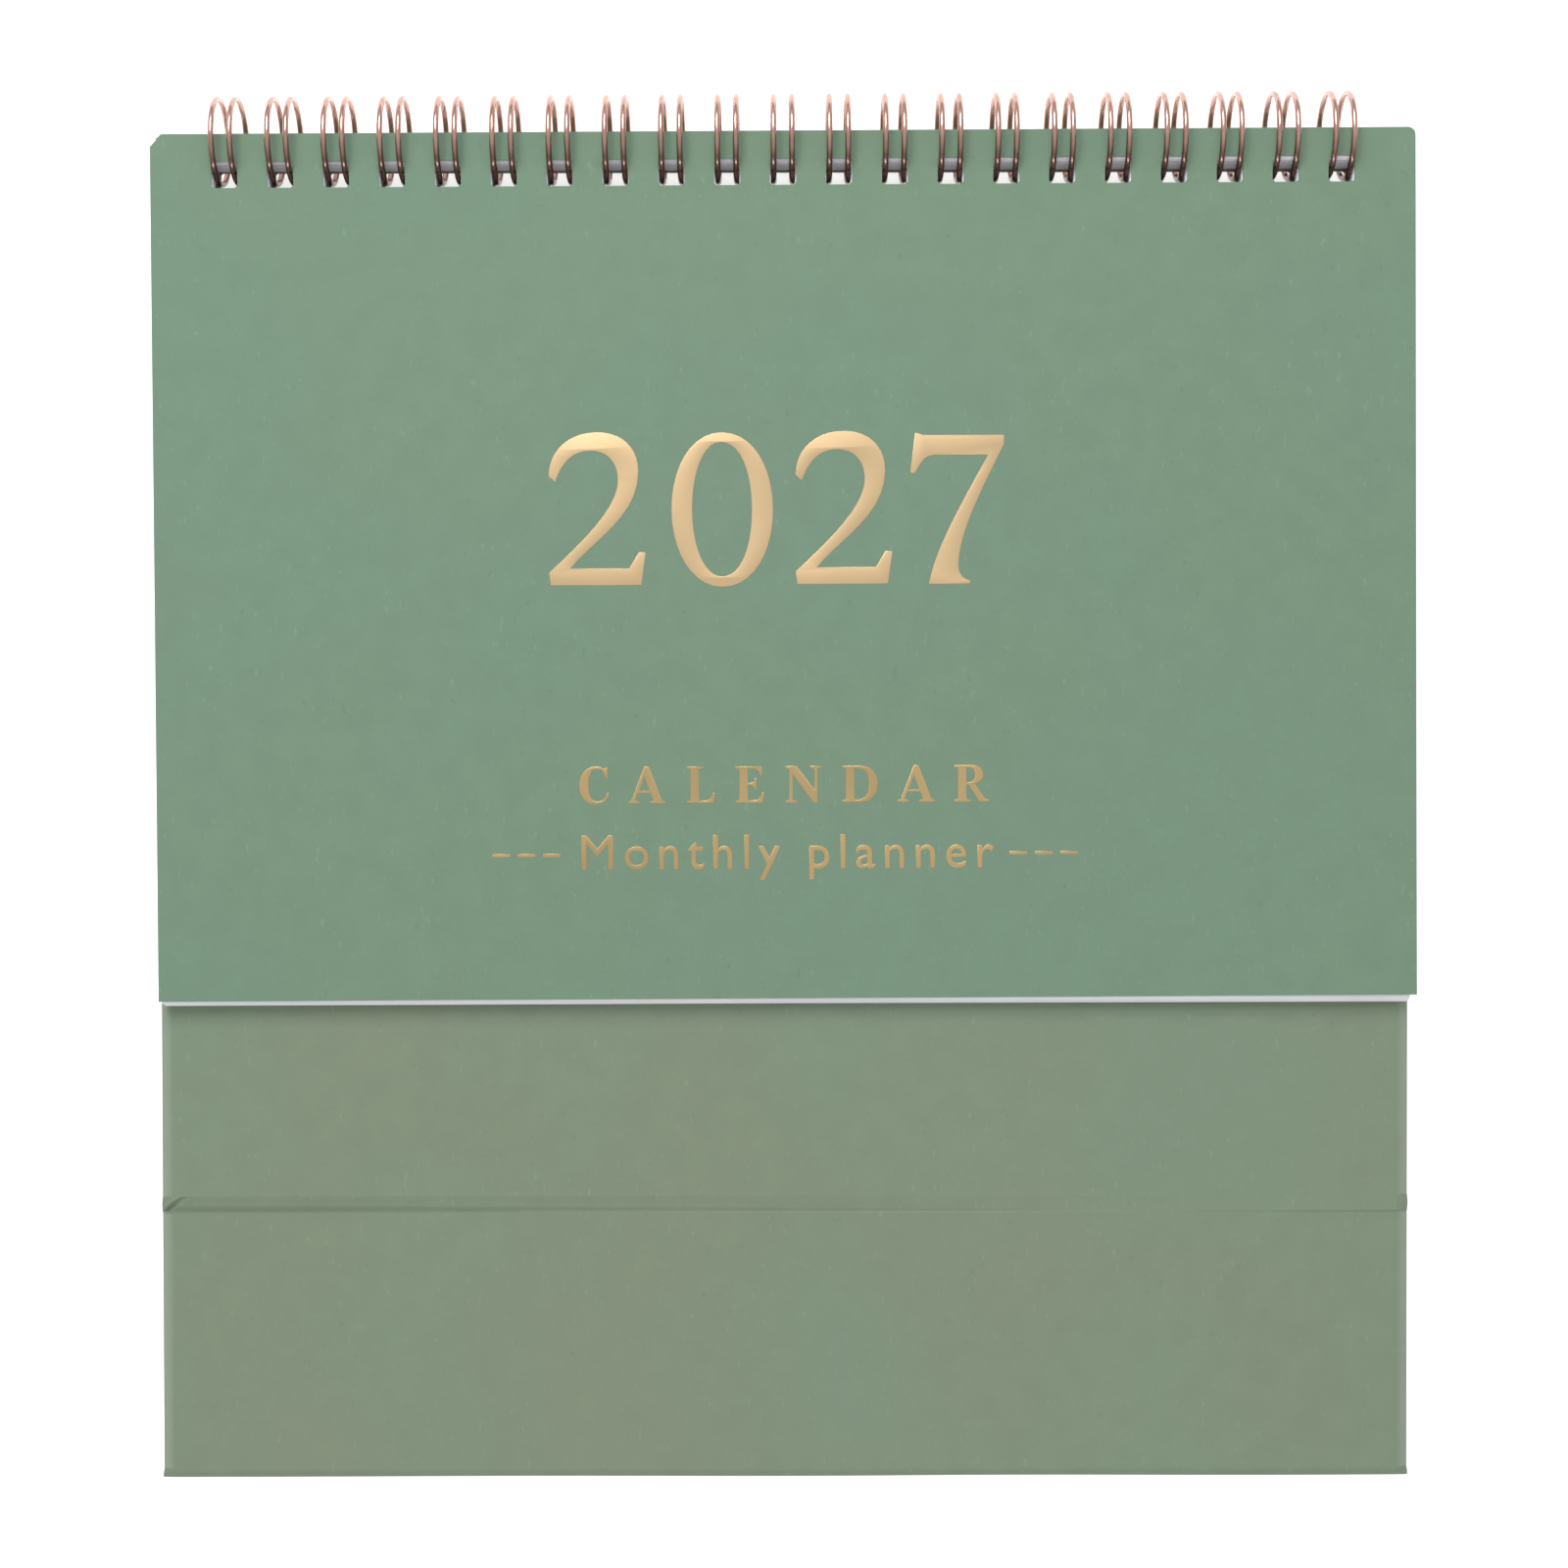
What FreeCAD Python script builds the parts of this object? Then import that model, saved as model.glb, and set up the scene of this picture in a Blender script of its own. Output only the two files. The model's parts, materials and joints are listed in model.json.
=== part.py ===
import FreeCAD, Part

# Flip desk calendar: a four-board paper-covered case that folds flat or opens into a
# triangular stand, a twin-loop wire along its top edge, and fourteen sheets that turn on it.
# It is modelled folded flat and lying on its back, as it is stored and shipped.
#
# Design frame: the axis of the wire rings is the X axis, -Y runs down the calendar to the
# folded base, and +Z is up through the sheets. The last step lays the model on the desk,
# where the rings and the fold end touch z = 0, and moves its origin to the middle below it.
import math
import os

from FreeCAD import Vector

# ---- driving sizes, in mm and degrees ----
CASE_WIDTH = 191.8  # boards and cover sheet, side to side
PANEL_REACH = 163.3  # ring axis to the middle of each panel crease
BASE_BOARD_DEPTH = 39.35  # each half of the folding base, from crease gap to fold end
CREASE_GAP = 2.7  # unbacked paper between two boards at a crease
FOLD_OVERHANG = 0.5  # base board's end to the line that the base folds on
CREASE_OPENING = 0.6  # cut in the back crease, where the closed linkage is opened

GREYBOARD_T = 1.3
WRAP_T = 0.15  # printed covering paper
LINING_T = 0.15
TURN_IN = 12.0  # covering paper folded over onto the inner face
LINING_INSET = 3.0  # lining's edge to the board's edge
LINING_STEP = 0.4  # width of the lining's step down from the turn-in to the board
CLOSED_GAP = 0.3  # between the inner faces of the folded case

MONTHS = 12
LEAF_INSET = 0.7  # side edge of an inner sheet to the side of the case
SHEET_HEIGHT = 131.7
LEAF_T = 0.16
COVER_T = 0.30
STACK_GAP = 0.10  # front panel to the last sheet
LEAF_GAP_AT_RING = 0.08
LEAF_GAP_AT_FOOT = 0.04
SHEET_CORNER_R = 1.2  # the two corners beside the rings

HOLE_PITCH = 25.4 / 3  # standard 3:1 punching
HOLE_SIDE = 4.0
HOLE_MARGIN = 4.2  # a sheet's top edge to its holes
END_MARGIN = 7.0  # the least from a sheet's side edge to the middle of its first hole
HANG = 0.45  # the wire's centre line to the middle of each hole

WIRE_DIA = 0.9
RING_R = 6.35  # ring axis to the wire's centre line
WIRE_CLEARANCE = 0.15  # from a loop's two wires to the sides of a hole
ROOT_BEND_R = 0.9
ROOT_DROP = 1.5  # back panel's outer face to where a loop's root starts to bend
SEAM_CLEARANCE = 0.4  # between a loop's root and its tip

FRONT_FACE_Z = 0.15  # front panel's outer face above the ring axis
TURN_CLEARANCE = 0.1  # a turned sheet's top edge to the panels' top edges

# ---- sizes that follow ----
PANEL_T = GREYBOARD_T + 2 * WRAP_T + LINING_T
CREASE_T = WRAP_T + LINING_T
FRONT_INNER_Z = FRONT_FACE_Z - PANEL_T
BACK_INNER_Z = FRONT_INNER_Z - CLOSED_GAP
BACK_FACE_Z = BACK_INNER_Z - PANEL_T
FRONT_MID_Z = FRONT_FACE_Z - PANEL_T / 2
BACK_MID_Z = BACK_FACE_Z + PANEL_T / 2
PANEL_END_Y = -(PANEL_REACH - CREASE_GAP / 2)
BASE_START_Y = -(PANEL_REACH + CREASE_GAP / 2)
BASE_END_Y = BASE_START_Y - BASE_BOARD_DEPTH
FOLD_Y = BASE_END_Y - FOLD_OVERHANG
FOLD_Z = (FRONT_INNER_Z + BACK_INNER_Z) / 2
FOLD_R = (FRONT_MID_Z - BACK_MID_Z) / 2

LEAF_WIDTH = CASE_WIDTH - 2 * LEAF_INSET
LOOPS = int((LEAF_WIDTH - 2 * END_MARGIN) / HOLE_PITCH) + 1
LOOP_X = [(i - (LOOPS - 1) / 2) * HOLE_PITCH for i in range(LOOPS)]
LEAF_PITCH = LEAF_T + LEAF_GAP_AT_RING
DROOP = math.degrees((LEAF_GAP_AT_RING - LEAF_GAP_AT_FOOT) / SHEET_HEIGHT)
LAST_SHEET_Z = FRONT_FACE_Z + STACK_GAP + LEAF_T / 2
COVER_Z = LAST_SHEET_Z + MONTHS * LEAF_PITCH + (LEAF_T + COVER_T) / 2 + LEAF_GAP_AT_RING

TWIN_SPACING = HOLE_SIDE - WIRE_DIA - 2 * WIRE_CLEARANCE
ROOT_ANGLE = math.degrees(math.asin((ROOT_DROP - BACK_FACE_Z) / RING_R))
SEAM_LENGTH = TWIN_SPACING / 2 + WIRE_DIA + SEAM_CLEARANCE


def hole_middle_y(z):
    """Where a hole hangs on the wire, for a sheet or panel at this height."""
    return -math.sqrt(RING_R**2 - z**2) - HANG


def sheet_top_y(z):
    return hole_middle_y(z) + HOLE_SIDE / 2 + HOLE_MARGIN


PANEL_TOP_Y = -sheet_top_y(COVER_Z) - TURN_CLEARANCE

# ---- how the folded case lies on the desk ----
RING_OUTER_R = RING_R + WIRE_DIA / 2
FOOT_REACH = math.hypot(BASE_END_Y, BACK_FACE_Z)
LEAN = math.degrees(
    math.asin(RING_OUTER_R / FOOT_REACH) - math.atan2(-BACK_FACE_Z, -BASE_END_Y)
)
X_AXIS = Vector(1, 0, 0)


def leaned(y, z):
    """A point of the design frame after the lean about the ring axis."""
    a = math.radians(LEAN)
    return Vector(0, y * math.cos(a) - z * math.sin(a), y * math.sin(a) + z * math.cos(a))


LOWEST_Y = leaned(FOLD_Y, FOLD_Z).y - FOLD_R - CREASE_T / 2
TO_DESK = Vector(0, -(RING_OUTER_R + LOWEST_Y) / 2, RING_OUTER_R)


def box(x_half, y_low, y_high, z_one, z_other):
    """A block centred on x = 0."""
    z_low, z_high = sorted((z_one, z_other))
    corner = Vector(-x_half, y_low, z_low)
    return Part.makeBox(2 * x_half, y_high - y_low, z_high - z_low, corner)


def punch(middle_y, z_one, z_other):
    """The row of square punches that cuts the binding holes."""
    z_low, z_high = sorted((z_one, z_other))
    side = HOLE_SIDE
    return [
        Part.makeBox(
            side, side, z_high - z_low, Vector(x - side / 2, middle_y - side / 2, z_low)
        )
        for x in LOOP_X
    ]


def panel(outer_z, outward, y_low, y_high, bound):
    """A covered board: greyboard, covering paper with its turn-ins, and lining.

    outward is 1 if the outer face looks to +Z and -1 if it looks to -Z. A bound panel is
    wrapped at its top edge too, and has the row of binding holes.
    """
    half = CASE_WIDTH / 2

    def depth(d):
        return outer_z - outward * d

    wrapped_y = y_high - WRAP_T if bound else y_high
    window_y = y_high - TURN_IN if bound else y_high
    lining_y = y_high - LINING_INSET if bound else y_high
    step_y = window_y - LINING_STEP if bound else y_high
    board_face = WRAP_T + GREYBOARD_T
    turn_in_face = board_face + WRAP_T

    board = box(half - WRAP_T, y_low, wrapped_y, depth(WRAP_T), depth(board_face))
    window = box(half - TURN_IN, y_low, window_y, depth(board_face), depth(turn_in_face))
    wrap = box(half, y_low, y_high, depth(0), depth(turn_in_face)).cut([board, window])
    lining = (
        box(half - LINING_INSET, y_low, lining_y, depth(turn_in_face), depth(PANEL_T))
        .fuse(window)
        .cut(
            box(
                half - TURN_IN - LINING_STEP,
                y_low,
                step_y,
                depth(PANEL_T - WRAP_T),
                depth(PANEL_T),
            )
        )
        .removeSplitter()
    )
    pieces = [board, wrap, lining]
    if bound:
        holes = punch(hole_middle_y(depth(PANEL_T / 2)), depth(0), depth(PANEL_T))
        pieces = [piece.cut(holes) for piece in pieces]
    return pieces


def sheet(width, thickness, z):
    """A punched sheet at this height, its two corners beside the rings rounded."""
    top, r, half = sheet_top_y(z), SHEET_CORNER_R, width / 2
    foot = top - SHEET_HEIGHT
    low = z - thickness / 2
    arc_in = r * (1 - math.sqrt(0.5))

    def at(x, y):
        return Vector(x, y, low)

    outline = Part.Wire(
        [
            Part.makeLine(at(-half, foot), at(half, foot)),
            Part.makeLine(at(half, foot), at(half, top - r)),
            Part.Arc(at(half, top - r), at(half - arc_in, top - arc_in), at(half - r, top)).toShape(),
            Part.makeLine(at(half - r, top), at(r - half, top)),
            Part.Arc(at(r - half, top), at(arc_in - half, top - arc_in), at(-half, top - r)).toShape(),
            Part.makeLine(at(-half, top - r), at(-half, foot)),
        ]
    )
    middle, h = hole_middle_y(z), HOLE_SIDE / 2
    holes = [
        Part.makePolygon(
            [
                at(x - h, middle - h),
                at(x - h, middle + h),
                at(x + h, middle + h),
                at(x + h, middle - h),
                at(x - h, middle - h),
            ]
        )
        for x in LOOP_X
    ]
    return Part.Face([outline] + holes).extrude(Vector(0, 0, thickness))


def crease_paper(mid_z):
    """Covering paper and lining glued to each other in the gap between two boards."""
    half, dip = CREASE_GAP / 2, (PANEL_T - CREASE_T) / 2
    r = (half**2 + dip**2) / (2 * dip)
    low_z, high_z = mid_z - PANEL_T / 2, mid_z + PANEL_T / 2
    strip = box(CASE_WIDTH / 2, -PANEL_REACH - half, -PANEL_REACH + half, low_z, high_z)
    start = -CASE_WIDTH / 2
    grooves = [
        Part.makeCylinder(r, CASE_WIDTH, Vector(start, -PANEL_REACH, z), X_AXIS)
        for z in (high_z + r - dip, low_z - r + dip)
    ]
    return strip.cut(grooves)


def fold_paper():
    """The paper that runs from one base board round to the other."""
    inner, outer = FOLD_R - CREASE_T / 2, FOLD_R + CREASE_T / 2

    def at(y, z):
        return Vector(-CASE_WIDTH / 2, y, FOLD_Z + z)

    def nose(r):
        return Part.Arc(at(FOLD_Y, r), at(FOLD_Y - r, 0), at(FOLD_Y, -r)).toShape()

    profile = Part.Wire(
        [
            Part.makeLine(at(BASE_END_Y, outer), at(FOLD_Y, outer)),
            nose(outer),
            Part.makeLine(at(FOLD_Y, -outer), at(BASE_END_Y, -outer)),
            Part.makeLine(at(BASE_END_Y, -outer), at(BASE_END_Y, -inner)),
            Part.makeLine(at(BASE_END_Y, -inner), at(FOLD_Y, -inner)),
            nose(inner),
            Part.makeLine(at(FOLD_Y, inner), at(BASE_END_Y, inner)),
            Part.makeLine(at(BASE_END_Y, inner), at(BASE_END_Y, outer)),
        ]
    )
    return Part.Face(profile).extrude(Vector(CASE_WIDTH, 0, 0))


def on_ring(x, angle, sideways=0.0, along=0.0):
    """A point on a ring. angle is from -Y towards +Z, along is from there on its tangent."""
    a = math.radians(angle)
    y = -RING_R * math.cos(a) + along * math.sin(a)
    z = RING_R * math.sin(a) + along * math.cos(a)
    return Vector(x + sideways, y, z)


def wire_binding():
    """One wire bent into a row of twin loops and closed into rings.

    Each loop leaves its root behind the back panel, runs nearly all the way round, turns
    in a narrow tip beside the root, and runs back. Roots join it to its neighbours.
    """
    root, tip = -ROOT_ANGLE, 360 - ROOT_ANGLE - math.degrees(SEAM_LENGTH / RING_R)
    tip_r, bend_r = TWIN_SPACING / 2, ROOT_BEND_R
    bend_in = bend_r * (1 - math.sqrt(0.5))
    bend_on = bend_r * math.sqrt(0.5)
    edges = []
    for i, middle in enumerate(LOOP_X):
        left, right = middle - tip_r, middle + tip_r
        arc_middle = (root + tip) / 2
        for x in (left, right):
            ends = [on_ring(x, root), on_ring(x, arc_middle), on_ring(x, tip)]
            run = Part.Arc(*(ends if x == left else ends[::-1])).toShape()
            edges.append(run)
            if x == left:
                top = on_ring(middle, tip, along=tip_r)
                edges.append(Part.Arc(on_ring(left, tip), top, on_ring(right, tip)).toShape())
        if i + 1 < LOOPS:
            following = LOOP_X[i + 1] - tip_r
            go = [(0, 0), (bend_in, -bend_on), (bend_r, -bend_r)]
            out = [on_ring(right, root, s, t) for s, t in go]
            back = [on_ring(following, root, -s, t) for s, t in reversed(go)]
            edges.append(Part.Arc(*out).toShape())
            edges.append(Part.makeLine(out[-1], back[0]))
            edges.append(Part.Arc(*back).toShape())
    path = Part.Wire(edges)
    start = on_ring(LOOP_X[0] - tip_r, root)
    heading = on_ring(0, root, along=1) - on_ring(0, root)
    section = Part.Face(Part.Wire(Part.makeCircle(WIRE_DIA / 2, start, heading)))
    return path.makePipe(section), path.Length


def build():
    """Every node of the calendar in the design frame, by name."""
    nodes = {}
    panels = {
        "front": (FRONT_FACE_Z, 1, PANEL_END_Y, PANEL_TOP_Y, True),
        "back": (BACK_FACE_Z, -1, PANEL_END_Y, PANEL_TOP_Y, True),
        "front_base": (FRONT_FACE_Z, 1, BASE_END_Y, BASE_START_Y, False),
        "back_base": (BACK_FACE_Z, -1, BASE_END_Y, BASE_START_Y, False),
    }
    for name, where in panels.items():
        made = panel(*where)
        for layer, shape in zip(("board", "covering", "lining"), made):
            nodes[f"{name}_{layer}"] = shape

    nodes["front_crease_paper"] = crease_paper(FRONT_MID_Z)
    nodes["base_fold_paper"] = fold_paper()
    back_crease = crease_paper(BACK_MID_Z)
    cut = CREASE_OPENING / 2
    keep = PANEL_REACH + CREASE_GAP
    above = box(CASE_WIDTH, -keep, -PANEL_REACH + cut, BACK_FACE_Z, BACK_INNER_Z)
    below = box(CASE_WIDTH, -PANEL_REACH - cut, 0, BACK_FACE_Z, BACK_INNER_Z)
    nodes["back_crease_paper_upper"] = back_crease.cut(above)
    nodes["back_crease_paper_lower"] = back_crease.cut(below)

    ring_axis = Vector(0, 0, 0)
    stack = [("last_sheet", LEAF_WIDTH, LEAF_T, LAST_SHEET_Z)]
    for up in range(1, MONTHS + 1):
        name = f"month_sheet_{MONTHS + 1 - up:02d}"
        stack.append((name, LEAF_WIDTH, LEAF_T, LAST_SHEET_Z + up * LEAF_PITCH))
    stack.append(("cover_sheet", CASE_WIDTH, COVER_T, COVER_Z))
    for place, (name, width, thickness, z) in enumerate(stack):
        made = sheet(width, thickness, z)
        made.rotate(ring_axis, X_AXIS, place * DROOP)
        nodes[name] = made

    nodes["wire_binding"], length = wire_binding()
    section = math.pi * WIRE_DIA**2 / 4
    share = nodes["wire_binding"].Volume / (section * length)
    print(f"wire: {LOOPS} loops, {length:.1f} mm long, volume over section x length {share:.5f}")
    return nodes


def main():
    os.makedirs("parts", exist_ok=True)
    for name, shape in build().items():
        if shape.ShapeType == "Compound" and len(shape.Solids) == 1:
            shape = shape.Solids[0]
        shape.rotate(Vector(0, 0, 0), X_AXIS, LEAN)
        shape.translate(TO_DESK)
        assert shape.isValid() and len(shape.Solids) == 1, name
        shape.exportStep(f"parts/{name}.step")
    print(f"lean {LEAN:.4f} degrees, ring axis at {TO_DESK.y:.3f}, {TO_DESK.z:.3f}")


main()
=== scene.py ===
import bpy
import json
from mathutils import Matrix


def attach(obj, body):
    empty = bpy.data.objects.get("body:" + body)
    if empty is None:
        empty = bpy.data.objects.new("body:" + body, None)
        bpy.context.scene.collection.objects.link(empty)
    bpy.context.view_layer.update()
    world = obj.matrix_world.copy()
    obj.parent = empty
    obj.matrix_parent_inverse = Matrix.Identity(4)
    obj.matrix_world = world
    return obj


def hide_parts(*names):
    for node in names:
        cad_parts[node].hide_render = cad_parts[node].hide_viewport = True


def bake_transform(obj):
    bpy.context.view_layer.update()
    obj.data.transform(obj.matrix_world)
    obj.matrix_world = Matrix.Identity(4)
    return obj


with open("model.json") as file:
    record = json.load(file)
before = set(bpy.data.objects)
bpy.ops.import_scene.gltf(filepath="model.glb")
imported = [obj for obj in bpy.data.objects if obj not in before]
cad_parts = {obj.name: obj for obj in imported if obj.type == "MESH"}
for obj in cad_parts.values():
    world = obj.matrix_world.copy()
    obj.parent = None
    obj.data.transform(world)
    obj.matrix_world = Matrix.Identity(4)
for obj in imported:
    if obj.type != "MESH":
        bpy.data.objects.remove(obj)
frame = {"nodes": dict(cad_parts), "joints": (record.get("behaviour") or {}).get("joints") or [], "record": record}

# A flip desk calendar, folded flat: a paper-covered board case, a twin-loop wire along its
# top edge, and fourteen sheets that turn on the wire.
#
# Pieces are drawn in millimetres in the calendar's own frame. The axis of the wire rings is
# its X axis, -Y runs down to the folded base, and +Z is up through the sheets. Placement
# turns that into the frame's metres.
import calendar
import json
import logging
import math
from collections.abc import Callable, Sequence
from dataclasses import dataclass, field
from enum import Enum

import bmesh
import bpy
import numpy as np
from mathutils import Matrix, Vector

log = logging.getLogger("calendar")
MM = 0.001
Face = tuple[int, ...]
Point = tuple[float, float, float]
Shell = tuple[np.ndarray, list[Face]]
Colour = tuple[float, float, float]


class Facing(Enum):
    """Which way a board's outer face looks when the case is folded."""

    UP = 1
    DOWN = -1


# ---- placement -----------------------------------------------------------------------


@dataclass(frozen=True)
class Placement:
    """Where the folded calendar lies on the desk.

    Args:
        axis: a point on the axis of the rings, in metres.
        lean: the slope from the fold up to the rings, in radians.
    """

    axis: Vector
    lean: float

    @classmethod
    def from_frame(cls) -> "Placement":
        """Reads the ring axis from the stand's joint and the lean from a foot's normal.

        Returns:
            The placement.
        """
        stand = next(j for j in frame["joints"] if j["name"] == "stand_open")
        foot = next(m for m in frame["record"]["mounts"] if m["name"] == "stand_foot_front")
        up = Vector(foot["axis"])
        return cls(Vector(stand["pos_m"]), math.atan2(-up.y, up.z))

    @property
    def matrix(self) -> Matrix:
        """From the calendar's frame in metres to the row's."""
        return Matrix.Translation(self.axis) @ Matrix.Rotation(self.lean, 4, "X")

    def to_row(self, points: np.ndarray) -> np.ndarray:
        """Points in millimetres, placed on the desk in metres."""
        turn = np.array(self.matrix.to_3x3())
        return points * MM @ turn.T + np.array(self.axis)

    def span(self, node: str) -> tuple[np.ndarray, np.ndarray]:
        """A CAD node's lowest and highest corners in the calendar's frame.

        Args:
            node: the CAD node's name.

        Returns:
            The two corners, in millimetres.
        """
        mesh = frame["nodes"][node].data
        points = np.zeros(len(mesh.vertices) * 3)
        mesh.vertices.foreach_get("co", points)
        turn = np.array(self.matrix.to_3x3())
        own = (points.reshape(-1, 3) - np.array(self.axis)) @ turn / MM
        return own.min(0), own.max(0)


PLACE = Placement.from_frame()


# ---- finishes ------------------------------------------------------------------------


class Wiring:
    """A node tree while it is being wired."""

    def __init__(self, tree: bpy.types.NodeTree) -> None:
        """Keeps the tree."""
        self.tree = tree

    def join(self, value: object, socket: bpy.types.NodeSocket) -> None:
        """Links an output to an input, or sets the input to a value.

        Args:
            value: the output to link, or the value.
            socket: the input.
        """
        if isinstance(value, bpy.types.NodeSocket):
            self.tree.links.new(value, socket)
        elif socket.type == "RGBA":
            socket.default_value = (*value, 1.0)
        else:
            socket.default_value = value

    def add(self, kind: str, **values: object) -> bpy.types.Node:
        """Adds a node.

        Args:
            kind: the node's type.
            values: its inputs by name, with _ for a space, as outputs to link or as numbers.

        Returns:
            The node.
        """
        node = self.tree.nodes.new(kind)
        for key, value in values.items():
            self.join(value, node.inputs[key.replace("_", " ")])
        return node

    def math(self, operation: str, *values: object) -> bpy.types.NodeSocket:
        """Adds a math node.

        Args:
            operation: what it does.
            values: its inputs in order, as outputs to link or as numbers.

        Returns:
            Its value.
        """
        node = self.tree.nodes.new("ShaderNodeMath")
        node.operation = operation
        for value, socket in zip(values, node.inputs):
            self.join(value, socket)
        return node.outputs[0]

    def span(self, value: bpy.types.NodeSocket, low: float, high: float,
             to_low: float = 0.0, to_high: float = 1.0) -> bpy.types.NodeSocket:
        """A value's range from low to high, stretched and clamped to another range."""
        return self.add("ShaderNodeMapRange", Value=value, From_Min=low, From_Max=high,
                        To_Min=to_low, To_Max=to_high).outputs["Result"]


class Shade(Wiring):
    """A material's node tree while it is being wired."""

    def __init__(self, name: str) -> None:
        """Starts a material that has only its shader and its output.

        Args:
            name: the material's name.
        """
        self.material = bpy.data.materials.new(name)
        self.material.use_nodes = True
        super().__init__(self.material.node_tree)
        self.shader = self.tree.nodes["Principled BSDF"]
        self.coordinates = self.add("ShaderNodeTexCoord").outputs["Object"]

    def noise(self, per_metre: float, detail: float = 2.0,
              stretch: Colour = (1.0, 1.0, 1.0)) -> bpy.types.NodeSocket:
        """A noise pattern on the piece's own coordinates.

        Args:
            per_metre: how many blotches there are in a metre.
            detail: octaves of finer noise.
            stretch: how much denser the pattern is along each axis.

        Returns:
            The pattern's value, from 0 to 1.
        """
        place = self.add("ShaderNodeMapping", Vector=self.coordinates, Scale=stretch)
        return self.add("ShaderNodeTexNoise", Vector=place.outputs["Vector"], Scale=per_metre,
                        Detail=detail).outputs["Fac"]

    def mix(self, share: bpy.types.NodeSocket, one: Colour | bpy.types.NodeSocket,
            other: Colour | bpy.types.NodeSocket) -> bpy.types.NodeSocket:
        """Mixes two colours.

        Args:
            share: 0 for the first colour, 1 for the second.
            one: the first colour.
            other: the second colour.

        Returns:
            The mixed colour.
        """
        node = self.add("ShaderNodeMix")
        node.data_type = "RGBA"
        sockets = {s.identifier: s for s in node.inputs}
        for key, value in (("Factor_Float", share), ("A_Color", one), ("B_Color", other)):
            self.join(value, sockets[key])
        return next(s for s in node.outputs if s.identifier == "Result_Color")

    def drift(self, pattern: bpy.types.NodeSocket, low: float, high: float, one: Colour,
              other: Colour | bpy.types.NodeSocket) -> bpy.types.NodeSocket:
        """A colour that follows a pattern from one colour at low to another at high."""
        return self.mix(self.span(pattern, low, high), one, other)

    def done(self, base: bpy.types.NodeSocket,
             bump: tuple[bpy.types.NodeSocket, float, float] | None,
             **values: float | Colour) -> bpy.types.Material:
        """Finishes the material.

        Args:
            base: the base colour.
            bump: a pattern that raises the surface, its depth in millimetres and its strength.
            values: the shader's own inputs by name, with _ for a space.

        Returns:
            The material.
        """
        if bump:
            node = self.add("ShaderNodeBump", Height=bump[0], Distance=bump[1] * MM,
                            Strength=bump[2])
            values["Normal"] = node.outputs["Normal"]
        for key, value in {"Base Color": base, **values}.items():
            self.join(value, self.shader.inputs[key.replace("_", " ")])
        return self.material


def tinted(colour: Colour, by: float | Colour) -> Colour:
    """A colour with each of its parts multiplied."""
    parts = by if isinstance(by, tuple) else (by, by, by)
    return tuple(min(1.0, c * p) for c, p in zip(colour, parts))


@dataclass(frozen=True)
class PrintedPaper:
    """Matt printed paper or card: soft blotches, short pale fibres and a fine tooth.

    Args:
        name: the material's name.
        colour: the printed colour.
        warm: the tint of its warmer patches.
        cool: the tint of its cooler patches.
        fibre: how strongly the pale and dark fibres show.
        rubbed: how far the colour pales where the piece's "rubbed" attribute is 1.
        worn: the pale colour it goes to, for edge wear and a painted highlight on rounded edges.
        roughness: how matt it is.
    """

    name: str
    colour: Colour
    warm: Colour
    cool: Colour
    fibre: float = 0.16
    rubbed: float = 0.0
    worn: Colour = (0.50, 0.52, 0.48)
    roughness: float = 0.8

    def material(self) -> bpy.types.Material:
        """Wires the finish.

        Returns:
            The material.
        """
        shade = Shade(self.name)
        base = shade.drift(shade.noise(22, 1.0), 0.36, 0.64, tinted(self.colour, self.warm),
                           tinted(self.colour, self.cool))
        # each layer: its pattern, the part of the pattern that shows, how much, and its tint
        for pattern, low, high, most, tint in (
                (shade.noise(210, 2.0), 0.35, 0.65, 0.14, 0.72),
                (shade.noise(1100, 2.0), 0.3, 0.7, 0.12, 0.8),
                (shade.noise(1500, 1.0, (1.0, 0.35, 1.0)), 0.68, 0.80, self.fibre, 1.8),
                (shade.noise(1300, 1.0, (0.8, 0.5, 1.0)), 0.70, 0.80, self.fibre, 0.5)):
            base = shade.mix(shade.span(pattern, low, high, 0.0, most), base,
                             tinted(self.colour, tint))
        # edge wear and a painted highlight: the colour pales towards the rounded edges
        if self.rubbed:
            edge = shade.add("ShaderNodeAttribute")
            edge.attribute_name = "rubbed"
            share = shade.span(edge.outputs["Fac"], 0.0, 1.0, 0.0, self.rubbed)
            base = shade.mix(share, base, self.worn)
        return shade.done(base, (shade.noise(2600, 3.0), 0.04, 0.25),
                          Roughness=self.roughness, Specular_IOR_Level=0.3)


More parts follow.
